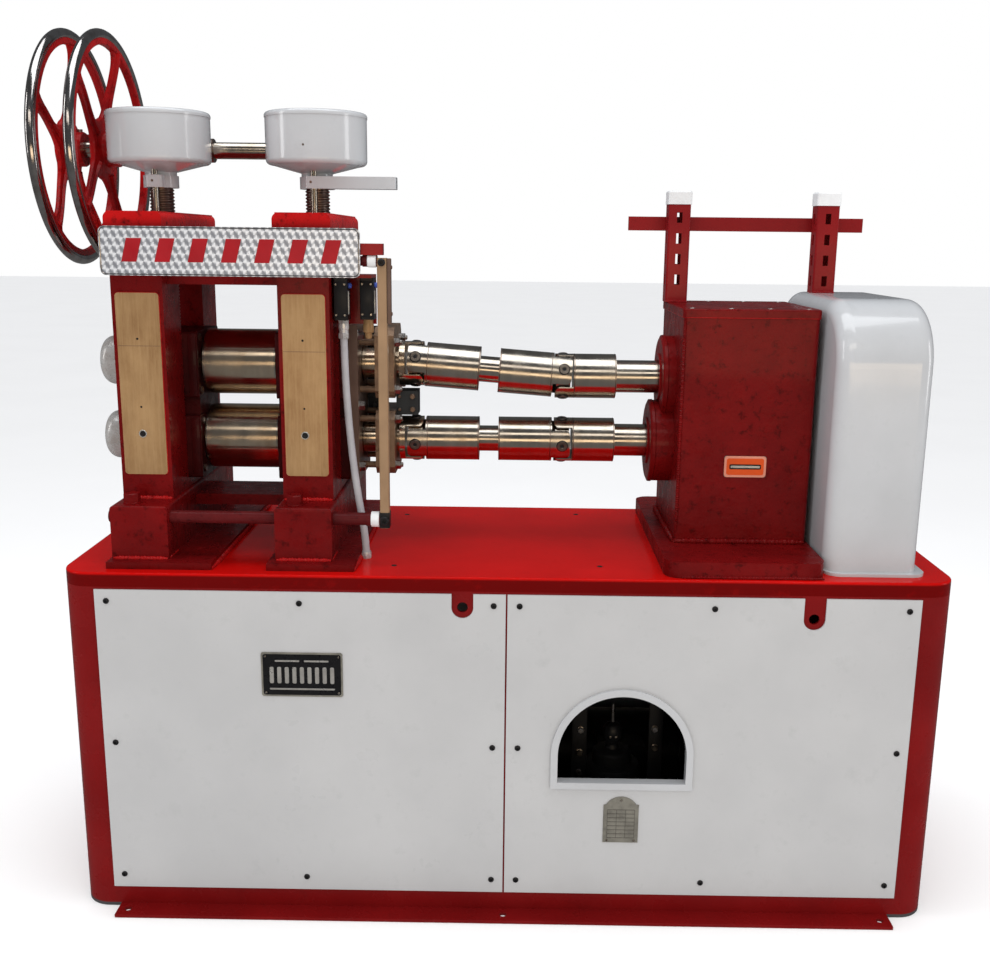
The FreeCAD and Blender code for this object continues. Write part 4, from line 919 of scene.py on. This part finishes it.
def shaft_seams():
    """Fine dark lines where each fork is welded to its tube, and the rolls' bright edges."""
    tilt = Vector((DRIVE_JOINT_X - ROLL_JOINT_X, 0, UPPER_PINION_Z - UPPER_Z)).normalized()
    barrel = ROLL_FACE_RIGHT - ROLL_FACE_LEFT
    for level, direction, roll_z, drive_z in (("upper", tilt, UPPER_Z, UPPER_PINION_Z),
                                              ("lower", X_AXIS, LOWER_Z, LOWER_Z)):
        body = level + "_spindle"
        bm = start_piece(body + "_seams", DARK_STEEL, "dark_steel", body)
        start = Vector((ROLL_JOINT_X, LINE_Y, roll_z))
        length = (DRIVE_JOINT_X - ROLL_JOINT_X) / direction.x
        add_hoops(bm, start, direction, (0.0225, length - 0.0225), 0.0405, 0.0412, 0.0008, 0.0006)
        add_hoops(bm, start, direction, (length / 2 - 0.0195, length / 2 + 0.0195),
                  0.0380, 0.0411, 0.0012, 0.0010)
        body = level + "_drive_shaft"
        bm = start_piece(body + "_seams", DARK_STEEL, "dark_steel", body)
        add_hoops(bm, Vector((DRIVE_JOINT_X, LINE_Y, drive_z)), X_AXIS, (0.0205, 0.0955),
                  0.0400, 0.0412, 0.0012, 0.0008)
        body = level + "_roll"
        bm = start_piece(body + "_face_edges", CHROME, "bright_fitting", body)
        add_hoops(bm, Vector((ROLL_FACE_LEFT, LINE_Y, roll_z)), X_AXIS,
                  (0.0015, barrel - 0.0015), 0.0590, 0.0601, 0.0010, 0.0006, 72)


# ---- pinion stand, guard and uprights --------------------------------------------
def case_welds():
    bm = start_piece("case_weld_beads", RED, "red_cast")
    x0, x1 = PINION_LEFT_X, PINION_RIGHT_X
    y = PINION_FRONT_Y
    z = PLATE_Z + 0.031
    add_weld(bm, (x0, y - 0.003, z), (x1 - 0.004, y - 0.003, z), 0.0052)
    add_weld(bm, (x0 - 0.003, y, z), (x0 - 0.003, PINION_BACK_Y, z), 0.0048)
    add_weld(bm, (x0 + 0.002, y + 0.001, z + 0.02), (x0 + 0.002, y + 0.001, CASE_SEAM_Z - 0.006),
             0.0030)
    base_y = low("pinion_stand").y
    add_weld(bm, (0.296, base_y, PLATE_Z + 0.002), (0.536, base_y, PLATE_Z + 0.002), 0.0030)


def case_seam():
    """Bright red bead under the lid, a painted highlight along the lid's seam, and the lid's screws.
    """
    bm = start_piece("case_lid_seam_highlight", RED_BRIGHT, "red_cast")
    loop = level_loop(PINION_LEFT_X - 0.001, PINION_RIGHT_X + 0.001, PINION_FRONT_Y - 0.001,
                      PINION_BACK_Y + 0.001, 0.007, CASE_SEAM_Z)
    add_bead(bm, loop, 0.0011)
    screws = start_piece("case_lid_screws", BOLT_STEEL, "bright_fitting")
    top = high("pinion_cover").z
    for x in spread(PINION_LEFT_X + 0.016, PINION_RIGHT_X - 0.016, 4):
        for y in (PINION_FRONT_Y + 0.016, PINION_BACK_Y - 0.016):
            add_flush_screw(screws, (x, y, top), Z_AXIS, 0.0065)


def boss_details():
    """Seal covers and rolled edges of the two shaft bosses."""
    bm = start_piece("boss_covers", RED, "red_cast")
    for face, z in ((0.277, UPPER_PINION_Z), (0.259, LOWER_Z)):
        add_lathe(bm, facing(-X_AXIS, (face + 0.0005, LINE_Y, z)),
                  [(0.0315, 0), (0.0315, 0.002), (0.034, 0.0035), (0.042, 0.0035),
                   (0.044, 0.002), (0.044, 0)], 48)
        add_lathe(bm, facing(-X_AXIS, (face + 0.004, LINE_Y, z)),
                  [(0.0755, 0), (0.0772, 0.001), (0.0775, -0.004), (0.0755, -0.006)], 64)


def base_bolts():
    bm = start_piece("base_bolts", RED, "red_cast")
    back_y = high("pinion_stand").y
    for x in (PINION_LEFT_X + 0.030, PINION_RIGHT_X - 0.030):
        add_hex_bolt(bm, (x, back_y - 0.040, PLATE_Z + 0.028), Z_AXIS, 0.022)


def guard_screws():
    """Two rows of screws up the guard's back sheet."""
    bm = start_piece("guard_back_screws", BOLT_STEEL, "bright_fitting")
    back_y = 0.250
    for x in (0.575, 0.676):
        for z in spread(PLATE_Z + 0.06, PLATE_Z + 0.33, 4):
            add_button_screw(bm, (x, back_y, z), Y_AXIS, 0.0050)


def upright_bolts():
    bm = start_piece("cross_bar_bolts", BOLT_STEEL, "bright_fitting")
    feet = start_piece("upright_feet_welds", RED_POST, "red_enamel")
    for name in ("upright_left", "upright_right"):
        place = (middle(name).x - 0.001, high("cross_bar").y, middle("cross_bar").z)
        add_hex_bolt(bm, place, Y_AXIS, 0.013, 0.007)
        lower, upper = BOX[name]
        add_weld(feet, (lower.x, lower.y, lower.z + 0.001), (upper.x, lower.y, lower.z + 0.001),
                 0.0022)


# ---- screwdown -------------------------------------------------------------------
def wheel_spider(bm, centre, phase):
    hub = facing(X_AXIS, centre)
    add_lathe(bm, hub, [(0.0153, -0.0200), (0.0500, -0.0200), (0.0545, -0.0190),
                        (0.0560, -0.0165), (0.0560, -0.0115), (0.0545, -0.0090),
                        (0.0500, -0.0080), (0.0370, -0.0078), (0.0325, -0.0050),
                        (0.0310, 0.0000), (0.0310, 0.0155), (0.0295, 0.0180),
                        (0.0153, 0.0180), (0.0153, -0.0200)], 56)
    add_lathe(bm, hub, [(0.0153, -0.0205), (0.0260, -0.0205), (0.0240, -0.0175),
                        (0.0153, -0.0175)], 40)
    add_lathe(bm, hub, [(0.1810, -0.0050), (0.1830, -0.0068), (0.1920, -0.0062),
                        (0.1950, -0.0030), (0.1950, 0.0030), (0.1920, 0.0062),
                        (0.1830, 0.0068), (0.1810, 0.0050), (0.1810, -0.0050)], 120)
    for number in range(5):
        wheel_spoke(bm, centre, math.radians(phase + 72.0 * number))


SPOKE_SECTION = ((-1.0, 0.0), (-0.92, 0.7), (-0.55, 1.0), (-0.28, 1.05), (-0.16, 1.9),
                 (0.16, 1.9), (0.28, 1.05), (0.55, 1.0), (0.92, 0.7), (1.0, 0.0),
                 (0.92, -0.7), (0.55, -1.0), (0.0, -1.1), (-0.55, -1.0), (-0.92, -0.7))


def wheel_spoke(bm, centre, turn):
    """Ribbed arm that widens into the hub's web and into the rim's band."""
    outward = Vector((0, math.cos(turn), math.sin(turn)))
    sideways = Vector((0, -math.sin(turn), math.cos(turn)))
    place = Matrix((sideways, X_AXIS, outward)).transposed().to_4x4()
    inner, outer = 0.048, 0.184
    steps = 22
    rings = []
    for step in range(steps + 1):
        t = step / steps
        radius = inner + (outer - inner) * t
        hub_flare = 0.014 * math.exp((0.050 - radius) / 0.014)
        rim_flare = 0.020 * math.exp((radius - outer) / 0.010)
        half = 0.011 + hub_flare + rim_flare
        thick = 0.0045 + 0.0015 * math.exp((0.050 - radius) / 0.030)
        dish = -0.014 * (1 - t * t * (3 - 2 * t))
        place.translation = centre + outward * radius + X_AXIS * dish
        section = [(across * half, rise * thick) for across, rise in SPOKE_SECTION]
        rings.append(add_ring(bm, place, section))
    skin(bm, rings)


def handwheels():
    for body, x, phase in (("inner_handwheel", -0.742, 0.0), ("outer_handwheel", -0.806, 14.0)):
        centre = Vector((x, WHEEL_Y, WHEEL_Z))
        spider = start_piece(body + "_spider", RED_WHEEL, "red_cast", body, sharp=40, replaces=body)
        wheel_spider(spider, centre, phase)
        if body == "inner_handwheel":
            add_lathe(spider, facing(X_AXIS, centre + X_AXIS * 0.018),
                      [(0.0153, 0), (0.0230, 0), (0.0230, 0.0469), (0.0153, 0.0469), (0.0153, 0)], 36)
        rim = start_piece(body + "_rim", CHROME, "bright_fitting", body)
        section = [(0.199 + x, y) for x, y in circle(0.009, 18)]
        add_lathe(rim, facing(X_AXIS, centre), section + section[:1], 144)
        screw = start_piece(body + "_set_screw", BOLT_STEEL, "bright_fitting", body)
        add_socket_screw(screw, centre + Vector((0.009, 0, 0.0308)), Z_AXIS, 0.0048)


def shaft_collar():
    bm = start_piece("cross_shaft_collar", DARK_STEEL, "dark_steel", "outer_handwheel")
    add_lathe(bm, facing(X_AXIS, (high("gear_drum_left").x - 0.020, WHEEL_Y, WHEEL_Z)),
              [(0.0151, 0), (0.0205, 0), (0.0215, 0.001), (0.0215, 0.011), (0.0205, 0.012),
               (0.0151, 0.012)], 40)


def drum_details():
    # dark discs for the set screw holes: painted shade of their insides
    dots = start_piece("set_screw_holes", DARK_STEEL, "dark_steel")
    add_dimple(dots, (RIGHT_X - 0.008, LINE_Y - 0.0898, 1.340), FRONT, 0.0018)
    for x in (LEFT_X - 0.002, RIGHT_X - 0.004):
        add_dimple(dots, (x, low("collar_left").y, 1.280), FRONT, 0.0022)
    screws = start_piece("drum_lid_screws", BOLT_STEEL, "bright_fitting")
    top = high("gear_drum_left").z
    for x in (LEFT_X, RIGHT_X):
        for step in range(6):
            angle = math.pi / 6 + math.pi / 3 * step
            add_flush_screw(screws, (x + 0.070 * math.cos(angle), LINE_Y + 0.070 * math.sin(angle),
                                     top), Z_AXIS, 0.0050)
    skirt = start_piece("drum_neck_fillets", WHITE_GLOSS, "white_enamel")
    for x in (LEFT_X, RIGHT_X):
        add_lathe(skirt, facing(Z_AXIS, (x, LINE_Y, 1.2955)),
                  [(0.0280, 0.0), (0.0290, 0.0015), (0.0330, 0.0030), (0.0285, 0.0055)], 48)


# ---- stop bar --------------------------------------------------------------------
def sign_details():
    """Raised rim and plain slanted red bars on the engine-turned plate."""
    lower, upper = BOX["sign_plate"]
    face = lower.y
    rim = start_piece("sign_rim", CHROME, "bright_fitting", "stop_bar")
    loop = front_loop(lower.x + 0.002, upper.x - 0.002, lower.z + 0.002, upper.z - 0.002,
                      0.008, face)
    add_bead(rim, loop, 0.0010)
    bars = start_piece("sign_bars", SIGN_RED, "red_enamel", "stop_bar")
    z0, z1 = 1.143, 1.181
    lean = 0.010
    for x in spread(-0.624, -0.298, 7):
        half = 0.0125
        outline = [(x - half, z0), (x + half, z0), (x + half + lean, z1), (x - half + lean, z1)]
        add_prism(bars, upright(face), outline, 0.0012, 0.0008)


def stop_bar_ends():
    """Bushings on both rods, clamp screws and collar on the lever, and its side plate."""
    y = middle("lever_bar").y
    x = low("lever_bar").x
    white = start_piece("stop_bar_bushings", PALE_PLASTIC, "white_plastic", "stop_bar")
    black = start_piece("stop_bar_clamps", BLACK, "dark_plastic", "stop_bar")
    for z, radius in ((0.710, 0.0134), (1.148, 0.0106)):
        add_lathe(white, facing(X_AXIS, (x - 0.0165, y, z)),
                  [(0.0085, 0), (radius - 0.0015, 0), (radius, 0.0015), (radius, 0.0140),
                   (radius - 0.0015, 0.0155), (0.0085, 0.0155), (0.0085, 0)], 40)
    front = low("lever_bar").y
    for z, radius in ((0.710, 0.0078), (1.146, 0.0062)):
        add_lathe(black, facing(FRONT, (x + 0.008, front, z)),
                  [(0, 0), (radius, 0), (radius, 0.005), (radius - 0.0015, 0.0065),
                   (radius * 0.5, 0.0065), (radius * 0.45, 0.003), (0, 0.003)], 28)
    add_collar(black, (x - 0.0008, front - 0.0012, 0.6965),
               (x + 0.0168, high("lever_bar").y + 0.0012, 0.7235))
    head = start_piece("lever_side_plate", BROWN, "brown_plate", "stop_bar")
    add_block(head, (x + 0.0163, y - 0.009, 1.046), (x + 0.0225, y + 0.008, 1.1525), 0.0015)
    for z in (1.062, 1.138):
        add_button_screw(head, (x + 0.0225, y, z), X_AXIS, 0.0035)


def add_collar(bm, lower, upper):
    """Square clamp round the lever: its front, back and right walls."""
    wall = 0.0022
    x0, y0, z0 = lower
    x1, y1, z1 = upper
    for left, front, back in ((x0, y0, y0 + wall), (x0, y1 - wall, y1), (x1 - wall, y0, y1)):
        add_block(bm, (left, front, z0), (x1, back, z1), 0.0006)


# ---- switches ----------------------------------------------------------------------
def switch_details():
    plates = start_piece("switch_covers", BLACK, "dark_plastic")
    screws = start_piece("switch_screws", BOLT_STEEL, "bright_fitting")
    levers = start_piece("switch_side_strips", LABEL_SILVER, "label_plate")
    lamps = start_piece("switch_lamps", BLUE, "dark_plastic")
    for x, y in ((-0.291, -0.108), (-0.249, -0.084)):
        front = y - 0.019
        add_block(plates, (x - 0.0108, front - 0.0014, 1.050), (x + 0.0108, front + 0.0005, 1.112),
                  0.0006)
        for dz in (1.055, 1.107):
            for dx in (-0.0075, 0.0075):
                add_socket_screw(screws, (x + dx, front - 0.0012, dz), FRONT, 0.0018)
        side = x + 0.012
        add_block(levers, (side, front + 0.004, 1.056), (side + 0.0022, front + 0.010, 1.096),
                  0.0006)
        add_lathe(lamps, facing(X_AXIS, (side, y, 1.1045)),
                  [(0, 0), (0.0048, 0), (0.0048, 0.003), (0.0040, 0.0045), (0, 0.0055)], 24)
    gland = start_piece("switch_gland", BRONZE, "bronze_pad")
    add_lathe(gland, facing(Z_AXIS, (-0.249, -0.084, 1.012)),
              [(0, 0), (0.0050, 0), (0.0060, 0.002), (0.0060, 0.009), (0.0090, 0.011),
               (0.0095, 0.013), (0.0095, 0.024), (0.0085, 0.026), (0.0085, 0.0345), (0, 0.0345)],
              32)


CONDUIT_ROUTE = [(-0.289, -0.108, 1.014), (-0.288, -0.109, 0.956), (-0.284, -0.113, 0.888),
                 (-0.277, -0.120, 0.816), (-0.267, -0.129, 0.744), (-0.257, -0.137, 0.692),
                 (-0.252, -0.141, 0.656), (-0.251, -0.142, 0.628)]


def gland_nuts():
    """Hexagon nut stack at the conduit's head and the gland at its foot."""
    bm = start_piece("conduit_gland_nuts", FITTING, "bright_fitting", replaces="conduit_fittings")
    nut = hexagon(0.0164)
    x, y, z = CONDUIT_ROUTE[0]
    add_prism(bm, facing(Z_AXIS, (x, y, z)), nut, 0.010, 0.001)
    add_lathe(bm, facing(Z_AXIS, (x, y, z + 0.010)),
              [(0, 0), (0.0082, 0), (0.0082, 0.006), (0.0090, 0.007), (0.0090, 0.016),
               (0, 0.016)], 32)
    add_prism(bm, facing(Z_AXIS, (x, y, z + 0.026)), nut, 0.0055, 0.0006)
    x, y = CONDUIT_ROUTE[-1][:2]
    add_prism(bm, facing(Z_AXIS, (x, y, PLATE_Z)), nut, 0.006, 0.0008)
    add_lathe(bm, facing(Z_AXIS, (x, y, PLATE_Z + 0.006)),
              [(0.0066, 0), (0.0086, 0), (0.0086, 0.004), (0.0080, 0.006), (0.0068, 0.006)], 32)


def conduit_tube():
    """Flexible conduit from the front switch down to the top plate, on one smooth curve."""
    curve = bpy.data.curves.new("conduit_tube", "CURVE")
    curve.dimensions = "3D"
    curve.bevel_depth = 0.0065
    curve.bevel_resolution = 6
    curve.resolution_u = 16
    curve.use_fill_caps = True
    spline = curve.splines.new("NURBS")
    spline.points.add(len(CONDUIT_ROUTE) - 1)
    for point, place in zip(spline.points, CONDUIT_ROUTE):
        point.co = (*place, 1.0)
    spline.order_u = 3
    spline.use_endpoint_u = True
    curve.materials.append(GREY_TUBE)
    tube = add_object("conduit_tube", curve)
    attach(tube, STAND)
    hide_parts("conduit")


# ---- camera, light and floor ---------------------------------------------------
LENS = 40.29
CAMERA_PLACE = Vector((0.0008, -2.042, 1.1858))
CAMERA_PITCH = math.radians(12.48)
CAMERA_YAW = math.radians(-0.53)
CAMERA_ROLL = math.radians(-0.61)


def add_camera():
    turn = (Matrix.Rotation(-CAMERA_YAW, 4, "Z")
            @ Matrix.Rotation(math.pi / 2 - CAMERA_PITCH, 4, "X")
            @ Matrix.Rotation(-CAMERA_ROLL, 4, "Z"))
    data = bpy.data.cameras.new("camera")
    data.lens = LENS
    data.sensor_width = 36.0
    data.shift_x = -0.0037
    camera = add_object("camera", data)
    camera.matrix_world = Matrix.Translation(CAMERA_PLACE) @ turn
    bpy.context.scene.camera = camera


def add_area_light(name, place, target, size, power, tint=(1, 1, 1)):
    data = bpy.data.lights.new(name, "AREA")
    data.shape = "RECTANGLE"
    data.size, data.size_y = size
    data.energy = power
    data.color = tint
    aim = (Vector(target) - Vector(place)).to_track_quat("-Z", "Y").to_matrix().to_4x4()
    add_object(name, data).matrix_world = Matrix.Translation(Vector(place)) @ aim


def add_world():
    """White to the eye, bright for soft shadows and calmer in reflections."""
    world = bpy.data.worlds.new("studio")
    bpy.context.scene.world = world
    world.use_nodes = True
    tree = world.node_tree
    path = tree.nodes.new("ShaderNodeLightPath")
    shader = tree.nodes["Background"].outputs[0]
    tree.nodes["Background"].inputs["Color"].default_value = (0.97, 0.98, 1.0, 1)
    tree.nodes["Background"].inputs["Strength"].default_value = 0.90
    for ray, tint, strength in (("Is Glossy Ray", (0.90, 0.94, 1.0, 1), 0.10),
                                ("Is Camera Ray", (1.0, 1.0, 1.0, 1), 1.0)):
        background = tree.nodes.new("ShaderNodeBackground")
        background.inputs["Color"].default_value = tint
        background.inputs["Strength"].default_value = strength
        mix = tree.nodes.new("ShaderNodeMixShader")
        tree.links.new(path.outputs[ray], mix.inputs[0])
        tree.links.new(shader, mix.inputs[1])
        tree.links.new(background.outputs[0], mix.inputs[2])
        shader = mix.outputs[0]
    tree.links.new(shader, tree.nodes["World Output"].inputs["Surface"])


def add_floor():
    bm = bmesh.new()
    half = 30.0
    bm.faces.new([bm.verts.new((x * half, y * half, -0.0005))
                  for x, y in ((-1, -1), (1, -1), (1, 1), (-1, 1))])
    mesh = bpy.data.meshes.new("floor")
    bm.to_mesh(mesh)
    bm.free()
    s = Shader("floor_paper", Roughness=0.85, Specular_IOR_Level=0.2)
    paper = s.ramp(s.noise(1.2, 3.0), [(0.3, (0.88, 0.88, 0.88)), (0.7, (0.90, 0.90, 0.90))])
    mirrored = s.node("ShaderNodeLightPath").outputs["Is Glossy Ray"]
    s.colour(s.mix(mirrored, paper, (0.05, 0.05, 0.05)))
    s.surface.inputs["Emission Color"].default_value = (1.0, 1.0, 1.0, 1.0)
    s.surface.inputs["Emission Strength"].default_value = 0.10
    mesh.materials.append(s.material)
    add_object("floor", mesh)


# ---- build -----------------------------------------------------------------------
bpy.context.scene.view_settings.view_transform = "Standard"
add_camera()
conduit_tube()
add_world()
add_floor()
for lamp in (("overhead", (-0.1, -0.3, 3.2), (0, 0, 0.7), (3.0, 1.5), 40, (0.94, 0.97, 1.0)),
             ("front_strip", (0.1, -2.6, 2.6), (0, 0, 0.8), (2.6, 0.5), 9, (1.0, 0.92, 0.82)),
             ("low_front", (0.4, -3.2, 0.9), (0, 0, 0.8), (3.0, 0.6), 13, (1.0, 0.76, 0.50)),
             ("left_strip", (-2.8, -0.8, 1.9), (-0.4, 0, 0.9), (0.4, 1.6), 8),
             ("right_strip", (3.0, -0.5, 1.3), (-0.3, 0, 0.9), (0.6, 1.4), 8)):
    add_area_light(*lamp)
for build in (dress_nodes, panel_screws, plate_holes, maker_plate, data_plate, case_label,
              inside_drive, pad_marks, pad_rims, foot_bolts, housing_welds, screw_threads,
              chock_details, bearing_nuts, bearing_back, end_cap_details, joint_block_details,
              joint_pins, shaft_seams, case_welds, case_seam, boss_details, base_bolts,
              guard_screws, upright_bolts, handwheels, shaft_collar, drum_details,
              sign_details, stop_bar_ends, switch_details, gland_nuts):
    build()
finish_pieces()
